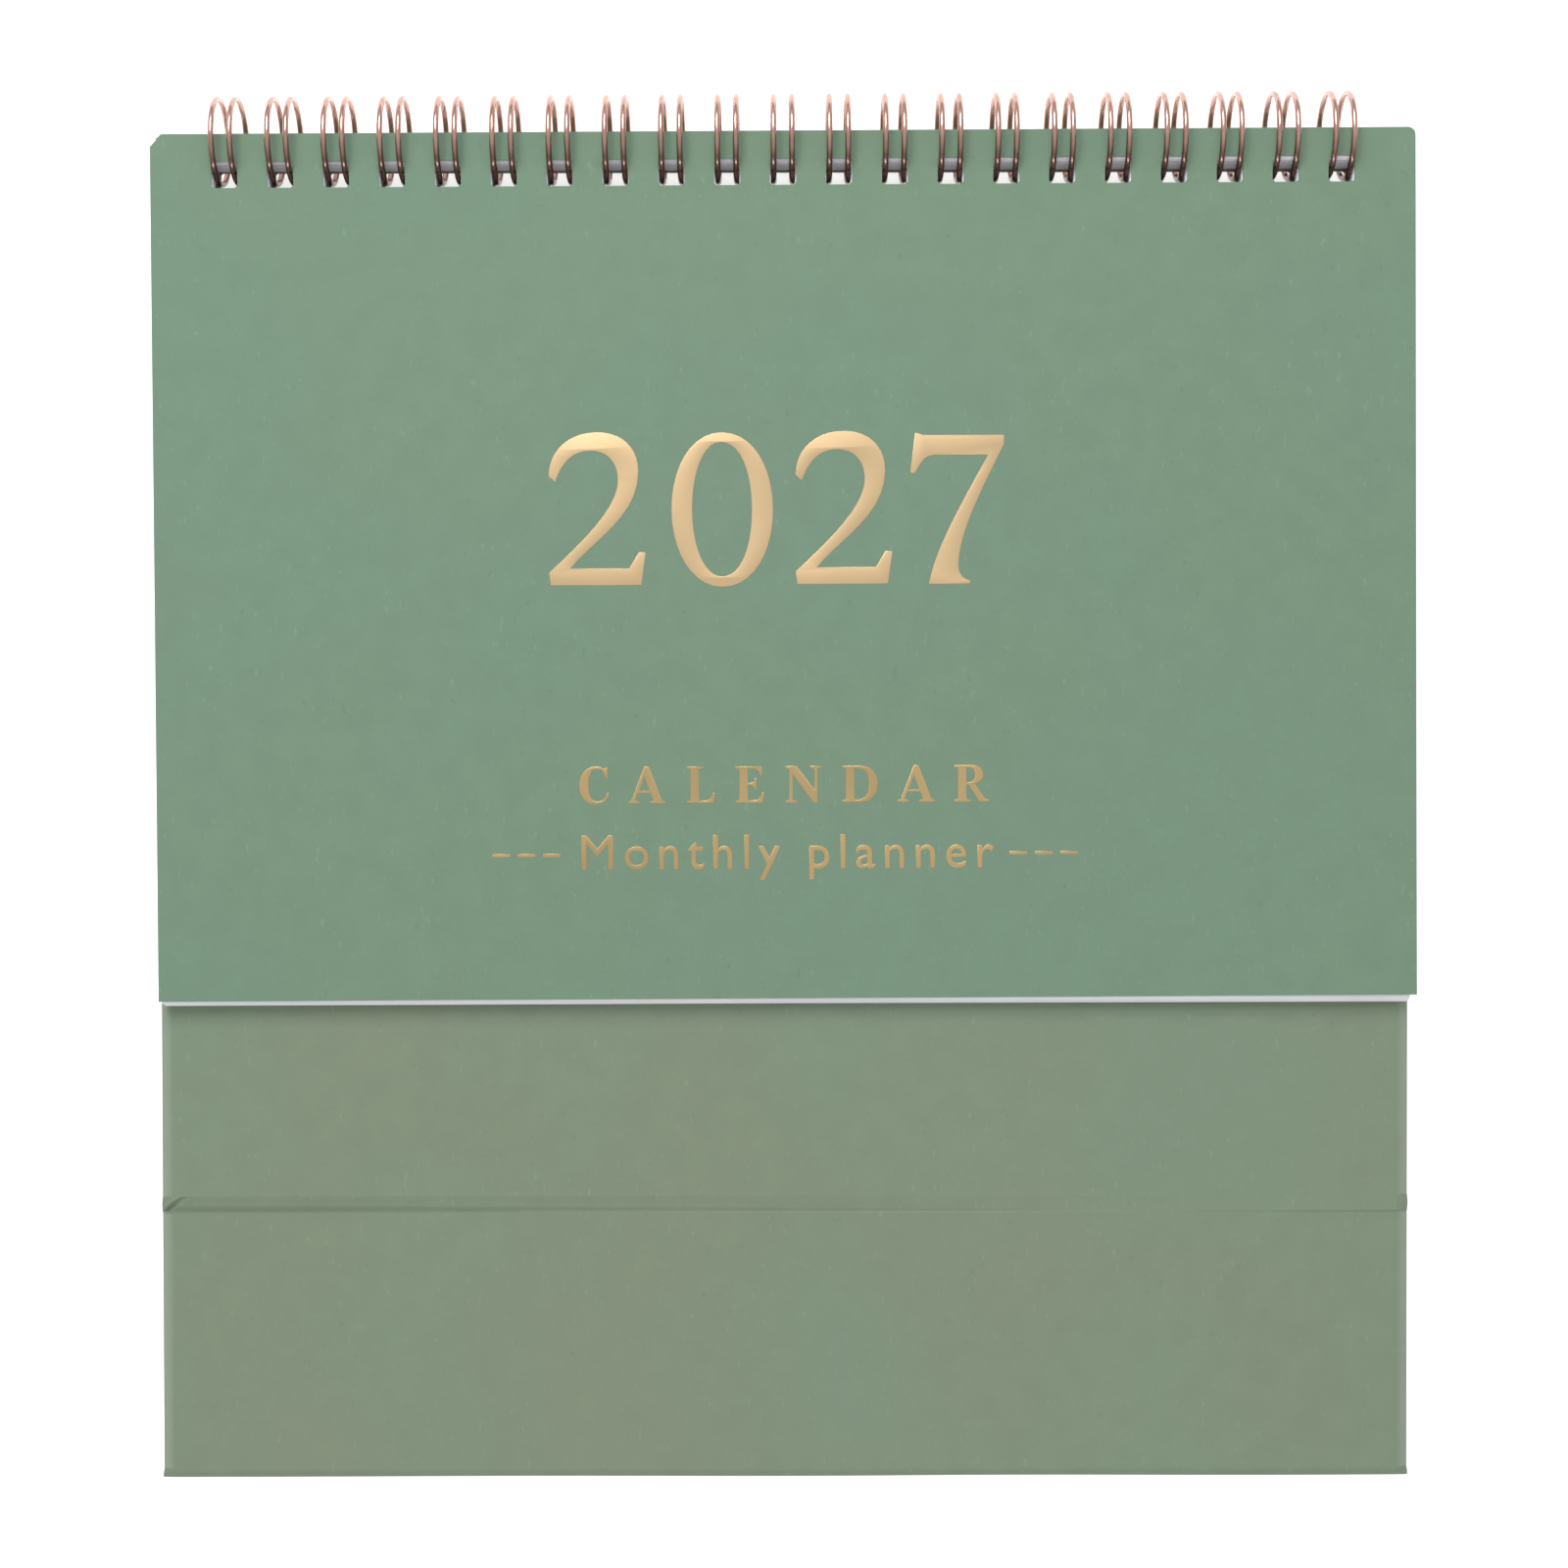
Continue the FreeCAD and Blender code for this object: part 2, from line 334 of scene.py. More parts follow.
@dataclass(frozen=True)
class PageFinish:
    """White page paper with pale printed rulings.

    Args:
        name: the material's name.
        ruling: the colour of the ruled lines.
        cell: width and height of a ruled cell, in millimetres.
        origin: a corner of the ruling, in the row's frame in metres.
        columns: the first and last place of the ruling across, in the row's frame in metres.
        rows: the lowest and highest place of the ruling, in the row's frame in metres.
        line: how wide a line is, in millimetres.
        paper: the paper's colour.
    """

    name: str
    ruling: Colour
    cell: tuple[float, float]
    origin: tuple[float, float]
    columns: tuple[float, float]
    rows: tuple[float, float]
    line: float = 0.22
    paper: Colour = (0.90, 0.90, 0.93)

    def material(self) -> bpy.types.Material:
        """Wires the finish.

        Returns:
            The material.
        """
        shade = Shade(self.name)
        place = shade.add("ShaderNodeMapping", Vector=shade.coordinates,
                          Location=(-self.origin[0], -self.origin[1], 0.0))
        rule = shade.add("ShaderNodeTexBrick", Vector=place.outputs["Vector"], Scale=1.0,
                         Mortar_Size=self.line * MM / 2, Mortar_Smooth=0.0,
                         Brick_Width=self.cell[0] * MM, Row_Height=self.cell[1] * MM)
        rule.offset = 0.0
        rule.squash = 1.0
        split = shade.add("ShaderNodeSeparateXYZ", Vector=shade.coordinates)
        ruled = rule.outputs["Fac"]
        for part, (low, high) in (("X", self.columns), ("Y", self.rows)):
            inside = shade.math("COMPARE", split.outputs[part], (low + high) / 2,
                                (high - low) / 2)
            ruled = shade.math("MULTIPLY", ruled, inside)
        tone = shade.drift(shade.noise(60, 3.0), 0.3, 0.7, self.paper, tinted(self.paper, 0.95))
        return shade.done(shade.mix(ruled, tone, self.ruling),
                          (shade.noise(2200, 3.0), 0.03, 0.2),
                          Roughness=0.85, Specular_IOR_Level=0.25)


@dataclass(frozen=True)
class Board:
    """Grey pulp board, seen on the walls of the punched holes.

    Args:
        name: the material's name.
        colour: the pulp's colour.
    """

    name: str = "grey_pulp_board"
    colour: Colour = (0.30, 0.27, 0.24)

    def material(self) -> bpy.types.Material:
        """Wires the finish.

        Returns:
            The material.
        """
        shade = Shade(self.name)
        base = shade.drift(shade.noise(1500, 3.0), 0.3, 0.7, tinted(self.colour, 0.7),
                           tinted(self.colour, 1.25))
        return shade.done(base, (shade.noise(2600, 3.0), 0.08, 0.6),
                          Roughness=0.95, Specular_IOR_Level=0.15)


@dataclass(frozen=True)
class Foil:
    """Hot-stamped gold foil, slightly satin and a little uneven.

    Args:
        name: the material's name.
        colour: the foil's colour.
        roughness: how dull it is.
    """

    name: str = "gold_foil"
    colour: Colour = (0.56, 0.41, 0.235)
    roughness: float = 0.42

    def material(self) -> bpy.types.Material:
        """Wires the finish.

        Returns:
            The material.
        """
        shade = Shade(self.name)
        base = shade.drift(shade.noise(45, 2.0), 0.35, 0.65, tinted(self.colour, 0.93),
                           tinted(self.colour, (1.08, 1.07, 1.05)))
        return shade.done(base, (shade.noise(900, 3.0), 0.02, 0.25), Metallic=0.85,
                          Roughness=self.roughness, Specular_IOR_Level=0.5)


@dataclass(frozen=True)
class CoatedWire:
    """Rose-gold coated steel wire, with painted shade where it runs down into the holes.

    Args:
        name: the material's name.
        colour: the coating's colour.
        roughness: how dull it is.
        dark: where the painted shade gives way to the bright coating, up the row's frame in metres.
        darkness: the tint of the painted shade at its deepest.
    """

    name: str = "rose_gold_wire"
    colour: Colour = (0.54, 0.33, 0.275)
    roughness: float = 0.2
    dark: tuple[float, float] = (0.0930, 0.0985)
    darkness: Colour = (0.3, 0.24, 0.24)

    def material(self) -> bpy.types.Material:
        """Wires the finish.

        Returns:
            The material.
        """
        shade = Shade(self.name)
        bright = shade.drift(shade.noise(500, 2.0), 0.35, 0.65, tinted(self.colour, 0.88),
                             tinted(self.colour, 1.1))
        # painted shade: the coating darkens down the row, where the wire runs into the holes, for the shadow and
        # dark reflections there
        split = shade.add("ShaderNodeSeparateXYZ", Vector=shade.coordinates)
        base = shade.drift(split.outputs["Y"], *self.dark, tinted(self.colour, self.darkness),
                           bright)
        return shade.done(base, (shade.noise(2400, 2.0, (1.0, 0.3, 0.3)), 0.012, 0.3),
                          Metallic=1.0, Roughness=self.roughness)


@dataclass(frozen=True)
class Ink:
    """Flat printing ink, with the paper's tooth showing through.

    Args:
        name: the material's name.
        colour: the ink's colour.
    """

    name: str
    colour: Colour

    def material(self) -> bpy.types.Material:
        """Wires the finish.

        Returns:
            The material.
        """
        shade = Shade(self.name)
        base = shade.drift(shade.noise(1800, 2.0), 0.4, 0.75, self.colour,
                           tinted(self.colour, 1.5))
        return shade.done(base, None, Roughness=0.7, Specular_IOR_Level=0.3)


@dataclass(frozen=True)
class Backdrop:
    """The white table that the calendar lies on, lit so that shadows stay faint.

    Args:
        name: the material's name.
        colour: the table's colour.
        glow: how much light it gives of itself.
    """

    name: str = "white_table"
    colour: Colour = (0.70, 0.70, 0.70)
    glow: float = 0.72

    def material(self) -> bpy.types.Material:
        """Wires the finish.

        Returns:
            The material.
        """
        shade = Shade(self.name)
        base = shade.mix(shade.noise(4, 2.0), self.colour, tinted(self.colour, 0.99))
        return shade.done(base, None, Roughness=0.9, Specular_IOR_Level=0.1,
                          Emission_Color=(1.0, 1.0, 1.0), Emission_Strength=self.glow)


# ---- meshes --------------------------------------------------------------------------


def new_piece(name: str, points: np.ndarray, faces: list[Face],
              finishes: list[bpy.types.Material], finish_of: list[int] | None = None,
              sharp: float = 38.0) -> bpy.types.Object:
    """A mesh object from points in the calendar's own frame.

    Args:
        name: the piece's name.
        points: its points, in millimetres.
        faces: its faces, anticlockwise from outside.
        finishes: its materials.
        finish_of: which material each face has, if there are several.
        sharp: the least angle between two faces that shows as an edge, in degrees.

    Returns:
        The object, at the origin, with its place in its mesh.
    """
    mesh = bpy.data.meshes.new(name)
    mesh.from_pydata(PLACE.to_row(points).tolist(), [], faces)
    for finish in finishes:
        mesh.materials.append(finish)
    if finish_of is not None:
        mesh.polygons.foreach_set("material_index", finish_of)
    mesh.shade_smooth()
    mesh.set_sharp_from_angle(angle=math.radians(sharp))
    mesh.update()
    made = bpy.data.objects.new(name, mesh)
    bpy.context.scene.collection.objects.link(made)
    return made


def rim(faces: list[Face]) -> list[tuple[int, int]]:
    """The edges that only one face has, each in the direction that the face runs it."""
    runs = {(f[k], f[(k + 1) % len(f)]) for f in faces for k in range(len(f))}
    return sorted(e for e in runs if (e[1], e[0]) not in runs)


def thicken(outer: np.ndarray, inner: np.ndarray, faces: list[Face]) -> Shell:
    """Closes an open surface with a second surface under it and walls round its rims.

    Args:
        outer: the surface's points.
        inner: the point under each of them.
        faces: the surface's faces, anticlockwise from outside.

    Returns:
        The points and faces of the closed shell, without points that no face uses.
    """
    count = len(outer)
    under = [tuple(i + count for i in reversed(f)) for f in faces]
    walls = [(b, a, a + count, b + count) for a, b in rim(faces)]
    every = list(faces) + under + walls
    used = sorted({i for f in every for i in f})
    fresh = {old: new for new, old in enumerate(used)}
    points = np.vstack([outer, inner])[used]
    return points, [tuple(fresh[i] for i in f) for f in every]


def eased(value: float) -> float:
    """A smooth step: 0 up to 0, 1 from 1."""
    t = min(1.0, max(0.0, value))
    return t * t * (3 - 2 * t)


def ripple(x: float, y: float, seed: float) -> float:
    """A slow uneven wave between about -1 and 1, for paper that isn't quite flat."""
    return (0.5 * math.sin(x / 23 + 1.7 * seed) + 0.3 * math.sin(y / 31 - 2.3 * seed)
            + 0.2 * math.sin((x + 1.3 * y) / 17 + seed))


@dataclass(frozen=True)
class Binding:
    """What the wire and every punched layer share, in millimetres.

    Args:
        pitch: from one twin loop to the next.
        loops: how many twin loops there are.
        hole_side: the side of a square hole.
        hole_corner: how far its corners are cut off.
        ring_radius: from the rings' axis to the middle of the wire.
        hang: how far the sheets hang down on the wire.
        margin: from a hole to the sheet's top edge.
        wire: the wire's diameter.
        twin_spacing: between the two wires of a loop.
    """

    pitch: float = 25.4 / 3
    loops: int = 21
    hole_side: float = 4.0
    hole_corner: float = 0.4
    ring_radius: float = 6.35
    hang: float = 0.45
    margin: float = 4.2
    wire: float = 0.9
    twin_spacing: float = 2.8

    @property
    def loop_x(self) -> list[float]:
        """The middle of each loop along the axis."""
        return [(i - (self.loops - 1) / 2) * self.pitch for i in range(self.loops)]

    def hole_middle(self, height: float) -> float:
        """Where the holes of a layer at this height hang."""
        return -math.sqrt(self.ring_radius**2 - height**2) - self.hang


BINDING = Binding()


@dataclass
class EdgeRound:
    """How a wrapped board rounds off towards an edge, in millimetres.

    Args:
        across: how far in from the edge the rounding starts.
        outer_depth: how far the outer face drops at the edge.
        inner_depth: how far the inner face rises there.
        slope: the part of the drop that is straight.
        steps: how many strips it is made of.
    """

    across: float = 1.9
    outer_depth: float = 0.82
    inner_depth: float = 0.45
    slope: float = 0.6
    steps: int = 7

    def share(self, near: float) -> float:
        """The part of the depth that is reached, near from 0 where the rounding starts to 1."""
        near = min(1.0, max(0.0, near))
        return self.slope * near + (1 - self.slope) * (1 - math.sqrt(1 - near**2))

    def lines(self, inset: float) -> list[tuple[float, float]]:
        """Where the rounding's lines run.

        Args:
            inset: the depth in the paper.

        Returns:
            For each line, how far in from the edge it runs and how near it is to the edge.
        """
        found = []
        for k in range(self.steps + 1):
            near = math.cos(math.pi / 2 * k / self.steps)
            found.append((inset + (self.across - inset) * (1 - near), near))
        return found


class Grid:
    """The lines of a punched layer, and which of its cells are cut away."""

    def __init__(self, xs: list[float], ys: list[float], hole_y: float | None) -> None:
        """Keeps the lines and marks the cells in the row of holes.

        Args:
            xs: the lines across, from left to right.
            ys: the lines up, from the foot to the top.
            hole_y: the middle of the holes, or None for a layer without them.
        """
        self.xs = xs
        self.ys = ys
        self.hole_y = hole_y

    @staticmethod
    def filled(low: float, high: float, stops: list[float], most: float) -> list[float]:
        """Fills a range with lines.

        Args:
            low: the first line.
            high: the last line.
            stops: lines that have to be there.
            most: the widest gap between two lines.

        Returns:
            The lines in order.
        """
        wanted = sorted({round(s, 6) for s in [low, high, *stops] if low <= s <= high})
        lines = [wanted[0]]
        for stop in wanted[1:]:
            gap = stop - lines[-1]
            if gap < 1e-4:
                continue
            parts = max(1, math.ceil(gap / most - 1e-9))
            lines += [lines[-1] + gap * (k + 1) / parts for k in range(parts)]
        return lines

    @staticmethod
    def hole_stops(middles: list[float]) -> list[float]:
        """The lines at the sides and corners of holes with these middles."""
        half, corner = BINDING.hole_side / 2, BINDING.hole_corner
        return [m + s for m in middles for s in (-half, corner - half, half - corner, half)]

    def index(self, i: int, j: int) -> int:
        """The number of the point where line i across meets line j up."""
        return j * len(self.xs) + i

    def _in_hole(self, at: float, middles: list[float]) -> int | None:
        """Which part of a hole a place is in.

        Args:
            at: a place along the row of holes or across it.
            middles: the holes' middles.

        Returns:
            None outside the holes, else -1, 0 or 1 for a hole's low, middle or high part.
        """
        half, corner = BINDING.hole_side / 2, BINDING.hole_corner
        for middle in middles:
            off = at - middle
            if abs(off) < half:
                return 0 if abs(off) < half - corner else int(math.copysign(1, off))
        return None

    def faces(self, keep: Callable[[float, float], bool] = lambda x, y: True) -> list[Face]:
        """The cells as faces, anticlockwise from +Z, with the holes left out.

        Args:
            keep: says from a cell's middle whether the layer has it.

        Returns:
            Faces by point number. A hole's corners keep a triangle, so they aren't sharp.
        """
        across = [(a + b) / 2 for a, b in zip(self.xs, self.xs[1:])]
        up = [(a + b) / 2 for a, b in zip(self.ys, self.ys[1:])]
        holes_x = [self._in_hole(x, BINDING.loop_x) for x in across]
        found = []
        for j, y in enumerate(up):
            in_y = None if self.hole_y is None else self._in_hole(y, [self.hole_y])
            for i, x in enumerate(across):
                if not keep(x, y):
                    continue
                cell = [self.index(i, j), self.index(i + 1, j), self.index(i + 1, j + 1),
                        self.index(i, j + 1)]
                in_x = holes_x[i]
                if in_y is None or in_x is None:
                    found.append(tuple(cell))
                elif in_x and in_y:
                    inner = {(-1, -1): 2, (1, -1): 3, (1, 1): 0, (-1, 1): 1}[(in_x, in_y)]
                    found.append(tuple(c for k, c in enumerate(cell) if k != inner))
        return found


# ---- the case ------------------------------------------------------------------------


def finish_piece(piece: bpy.types.Object, body: str, slot: str, *nodes: str) -> None:
    """Puts a finished piece on its body and hides the CAD nodes that it stands for.

    Args:
        piece: the piece.
        body: the body that it rides on.
        slot: its material slot; not used.
        nodes: the CAD nodes that it stands for.
    """
    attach(piece, body)
    if nodes:
        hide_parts(*nodes)
    log.info("%s on %s: %d faces", piece.name, body, len(piece.data.polygons))


def hinge_paper(name: str, across: int, outer: list[Point], inner: list[Point],
                paper: bpy.types.Material, flipped: bool = False) -> bpy.types.Object:
    """A closed strip of paper between two boards, with no edge wear or painted highlight of its own.

    Args:
        name: the piece's name.
        across: points in one row across the strip.
        outer: the points of its outer face, row after row.
        inner: the point under each of them.
        paper: its material.
        flipped: True where its outer face looks down.

    Returns:
        The piece.
    """
    faces = []
    for a in range(len(outer) - across):
        if (a + 1) % across:
            face = (a, a + across, a + across + 1, a + 1)
            faces.append(face[::-1] if flipped else face)
    shell = thicken(np.array(outer), np.array(inner), faces)
    piece = new_piece(name, *shell, [paper], sharp=60)
    piece.data.attributes.new("rubbed", "FLOAT", "POINT")
    return piece


def bend_piece(piece: bpy.types.Object, bodies: tuple[str, str], lips: tuple[Point, Point],
               node: str) -> None:
    """Bakes a piece that lies between two bodies into its mesh, on neither body, and hides its CAD node.

    Args:
        piece: the piece.
        bodies: the two bodies.
        lips: where the bend would start and where it would end, in millimetres; not used.
        node: the CAD node that it stands for.
    """
    start, end = PLACE.to_row(np.array(lips)).tolist()
    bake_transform(piece)
    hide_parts(node)
    log.info("%s bends from %s to %s", piece.name, *bodies)


@dataclass
class CaseBoard:
    """One board of the case with the paper wrapped round it, in millimetres.

    Args:
        name: the board's body, and the start of its CAD nodes' names.
        facing: which way its outer face looks.
        bound: True where it has the row of holes.
        paper: the covering's material.
        pulp: the board's material.
        wrap: how thick the paper is.
        turn_in: how far the paper is turned in over the inner face.
        support: from the rounding to the line that keeps the face flat beside it.
        wave: how uneven its outer face is.
        rub: how much faster the edge wear and painted highlight come on than the edge rounds.
        edge: how it rounds off.
    """

    name: str
    facing: Facing
    bound: bool
    paper: bpy.types.Material
    pulp: bpy.types.Material
    wrap: float = 0.15
    turn_in: float = 12.0
    support: float = 0.25
    wave: float = 0.03
    rub: float = 1.7
    edge: EdgeRound = field(default_factory=EdgeRound)

    def __post_init__(self) -> None:
        """Reads the board's place from its CAD covering."""
        low, high = PLACE.span(f"{self.name}_covering")
        up = self.facing is Facing.UP
        self.half = float(high[0])
        self.foot, self.top = float(low[1]), float(high[1])
        self.outer = float(high[2] if up else low[2])
        self.deep = float(high[2] - low[2])
        middle = self.outer - self.facing.value * (self.deep + self.wrap) / 2
        self.hole_y = BINDING.hole_middle(middle) if self.bound else None

    def uneven(self, x: float, y: float) -> float:
        """How far the outer face stands out from a true plane."""
        return self.wave * ripple(x, y, 0.4)

    def lines_across(self, inset: float) -> tuple[list[float], list[float]]:
        """The lines across.

        Args:
            inset: the depth in the paper.

        Returns:
            The lines, and how near each is to an edge.
        """
        edge = self.edge.lines(inset)
        flat = self.half - self.edge.across
        stops = [self.turn_in - self.half, self.half - self.turn_in, self.support - flat,
                 flat - self.support]
        if self.bound:
            stops += Grid.hole_stops(BINDING.loop_x)
        inner = Grid.filled(-flat, flat, stops, 6.0)[1:-1]
        xs = [s - self.half for s, _ in edge] + inner + [self.half - s for s, _ in edge[::-1]]
        shares = [q for _, q in edge] + [0.0] * len(inner) + [q for _, q in edge[::-1]]
        return xs, shares

    def lines_up(self, inset: float) -> tuple[list[float], list[float]]:
        """The lines up.

        Args:
            inset: the depth in the paper.

        Returns:
            The lines, and how near each is to an edge.
        """
        if not self.bound:
            ys = Grid.filled(self.foot, self.top, [], 6.0)
            return ys, [0.0] * len(ys)
        edge = self.edge.lines(inset)[::-1]
        stops = [self.top - self.turn_in] + Grid.hole_stops([self.hole_y])
        ys = Grid.filled(self.foot, self.top - self.edge.across, stops, 7.0)[:-1]
        return ys + [self.top - s for s, _ in edge], [0.0] * len(ys) + [q for _, q in edge]

    def skin(self, inset: float) -> tuple[np.ndarray, np.ndarray]:
        """The points of the outer face and then of the inner face at a depth in the paper.

        Args:
            inset: how deep, in millimetres.

        Returns:
            The points, and how far edge wear and a painted highlight pale the paper's colour at each.
        """
        xs, share_x = self.lines_across(inset)
        ys, share_y = self.lines_up(inset)
        sign = self.facing.value
        outer, inner, worn = [], [], []
        for y, q in zip(ys, share_y):
            for x, p in zip(xs, share_x):
                share = 1 - (1 - self.edge.share(p)) * (1 - self.edge.share(q))
                low = inset + (self.edge.outer_depth - inset) * share
                high = self.deep - inset - (self.edge.inner_depth - inset) * share
                outer.append((x, y, self.outer - sign * (low - self.uneven(x, y))))
                inner.append((x, y, self.outer - sign * high))
                # edge wear and a painted highlight, growing towards the board's edges
                worn.append(min(1.0, self.rub * max(p, q)))
        return np.array(outer + inner), np.array(worn + worn)

    def build(self) -> None:
        """Makes the wrapped paper and the grey board in it."""
        xs, _ = self.lines_across(0.0)
        ys, _ = self.lines_up(0.0)
        grid = Grid(xs, ys, self.hole_y)
        count, wide = len(xs) * len(ys), len(xs)
        window_x, window_y = self.half - self.turn_in, self.top - self.turn_in

        def on_flange(x: float, y: float) -> bool:
            """Whether the paper is turned in over the inner face here."""
            return abs(x) > window_x or (self.bound and y > window_y)

        def wrapped(a: int, b: int) -> bool:
            """Whether the paper goes round the board's edge between two of its points."""
            sides = a % wide == b % wide and a % wide in (0, wide - 1)
            return sides or (self.bound and min(a, b) >= count - wide)

        front = grid.faces()
        walls = [(b, a, a + count, b + count) for a, b in rim(front) if wrapped(a, b)]
        flange = [tuple(i + count for i in reversed(f)) for f in grid.faces(on_flange)]
        skin, worn = self.skin(0.0)
        under, _ = self.skin(self.wrap)
        paper = self._make("covering", skin, under, front + walls + flange, self.paper)
        used = sorted({i for f in front + walls + flange for i in f})
        # edge wear and painted highlight at each point, for the paper's finish to pale its colour
        rubbed = paper.data.attributes.new("rubbed", "FLOAT", "POINT")
        rubbed.data.foreach_set("value", np.concatenate([worn[used]] * 2))
        board = self._make("board", under[:count], under[count:], front, self.pulp)
        finish_piece(paper, self.name, "covering_paper", f"{self.name}_covering")
        finish_piece(board, self.name, "greyboard", f"{self.name}_board")

    def _make(self, layer: str, outer: np.ndarray, inner: np.ndarray, faces: list[Face],
              finish: bpy.types.Material) -> bpy.types.Object:
        """Closes one layer.

        Args:
            layer: the layer's name.
            outer: the points of its outer face.
            inner: the point under each of them.
            faces: its outer faces.
            finish: its material.

        Returns:
            The layer as a piece.
        """
        points, closed = thicken(outer, inner, faces)
        if self.facing is Facing.DOWN:
            closed = [f[::-1] for f in closed]
        return new_piece(f"{self.name}_{layer}_wrapped", points, closed, [finish])


@dataclass
class Crease:
    """The unbacked paper between a panel and its half of the base, in millimetres.

    Args:
        upper: the panel above it.
        lower: the half of the base below it.
        rows: rows of points from one lip to the other.
        inner_depth: how deep its inner face lies under the panel's outer face.
        inner_dip: how much thinner it is along its middle.
        cut: half of the gap where the back crease comes apart.
        depths: the front groove's depth on the left, how much of it is gone by the middle, and
            how much more on the right.
        lip: the share of the width in which the groove comes up to its lower lip.
        wander: how uneven the groove is.
        pinch: how far in from its left end the front crease is pinched.
        pinch_slope: how far across the pinch runs from the lower to the upper lip.
        pinch_fold: the pinch's depth, its place and its width, the last two as shares of the
            groove's width.
        pinch_ridge: the same of the ridge beside it, which stands up.
        back_dip: how deep the back crease is.
    """

    upper: CaseBoard
    lower: CaseBoard
    rows: int = 29
    inner_depth: float = 1.68
    inner_dip: float = 0.8
    cut: float = 0.3
    depths: tuple[float, float, float] = (0.56, 0.28, 0.42)
    lip: float = 0.12
    wander: float = 0.05
    pinch: float = 7.0
    pinch_slope: float = 3.4
    pinch_fold: tuple[float, float, float] = (0.36, 0.05, 0.15)
    pinch_ridge: tuple[float, float, float] = (0.26, -0.24, 0.12)
    back_dip: float = 0.5

    def _columns(self) -> list[float]:
        """Lines across, dense at the two ends where the paper pinches.

        Returns:
            The lines in order.
        """
        half = self.upper.half
        ends = [0.3 * k for k in range(1, 20)] + [s for s, _ in self.upper.edge.lines(0.0)]
        return Grid.filled(-half, half, [s - half for s in ends] + [half - s for s in ends], 6.0)

    def groove(self, x: float, v: float) -> float:
        """How deep the front groove is.

        The groove is deepest near its lower lip on the left and fades into a slight bulge
        on the right. At the left end the paper pinches along a slanting fold.

        Args:
            x: across, from the crease's middle.
            v: from 0 at its upper lip to 1 at its lower lip.

        Returns:
            The depth, in millimetres.
        """
        half = self.upper.half
        inward = x + half
        along = inward / (2 * half)
        shape = min(v / 0.9, eased((1 - v) / self.lip))
        deep, middle, right = self.depths
        depth = deep - middle * eased(along / 0.55) - right * eased((along - 0.5) / 0.5)
        uneven = self.wander * ripple(x * 1.5, v * 9, 2.2)
        dip = 1.15 * depth * shape + uneven * math.sin(math.pi * v)
        if inward < self.pinch:
            reach = inward / self.pinch_slope - (1 - v)
            window = min(1.0, 7 * v, 7 * (1 - v)) * eased((6 - inward) / 2)
            fold, ridge = (tall * math.exp(-((reach - place) / wide) ** 2)
                           for tall, place, wide in (self.pinch_fold, self.pinch_ridge))
            dip = dip * eased(reach / 0.3 + 0.5) + window * (fold - ridge)
        return dip

    def _strip(self, name: str, upto: tuple[float, float], front: bool) -> bpy.types.Object:
        """Makes the crease between two of its rows.

        Args:
            name: the piece's name.
            upto: the first and last row, from 0 at the upper lip to 1 at the lower lip.
            front: whether it is the front crease, with the groove's uneven shape.

        Returns:
            The closed strip.
        """
        board, edge, half = self.upper, self.upper.edge, self.upper.half
        sign = board.facing.value
        xs = self._columns()
        outer, inner = [], []
        for k in range(self.rows):
            v = upto[0] + (upto[1] - upto[0]) * k / (self.rows - 1)
            y = board.foot + (self.lower.top - board.foot) * v
            arch = math.sin(math.pi * v) ** 2
            for x in xs:
                inward = half - abs(x)
                share = edge.share(1 - inward / edge.across)
                dip = self.groove(x, v) if front else self.back_dip * arch
                low = edge.outer_depth * share + dip * (1 - 0.8 * share) - board.uneven(x, y)
                deep = (self.inner_depth - (edge.inner_depth + 0.08) * share
                        - self.inner_dip * arch * (1 - share))
                spread = 0.12 * math.sin(math.pi * v) * eased(1 - inward / 3)
                side = x + math.copysign(spread, x) * (1.0 if front else 0.3)
                outer.append((side, y, board.outer - sign * low))
                inner.append((side, y, board.outer - sign * deep))
        return hinge_paper(name, len(xs), outer, inner, board.paper,
                           board.facing is Facing.DOWN)

    def build_bending(self, node: str) -> None:
        """Makes the front crease, where the stand bends as it opens; the piece stays as it lies.

        Args:
            node: the CAD node that it stands for.
        """
        lips = ((0.0, self.upper.foot, self.upper.outer), (0.0, self.lower.top, self.upper.outer))
        bend_piece(self._strip("front_crease_groove", (0.0, 1.0), True),
                   (self.upper.name, self.lower.name), lips, node)

    def build_halves(self, nodes: tuple[str, str]) -> None:
        """Makes the back crease in two, one half on each board, where the stand comes apart.

        Args:
            nodes: the CAD nodes that the upper and the lower half stand for.
        """
        cut = self.cut / (self.upper.foot - self.lower.top)
        spans = ((0.0, 0.5 - cut), (0.5 + cut, 1.0))
        for node, span, board in zip(nodes, spans, (self.upper, self.lower)):
            finish_piece(self._strip(f"{node}_groove", span, False), board.name,
                         "covering_paper", node)


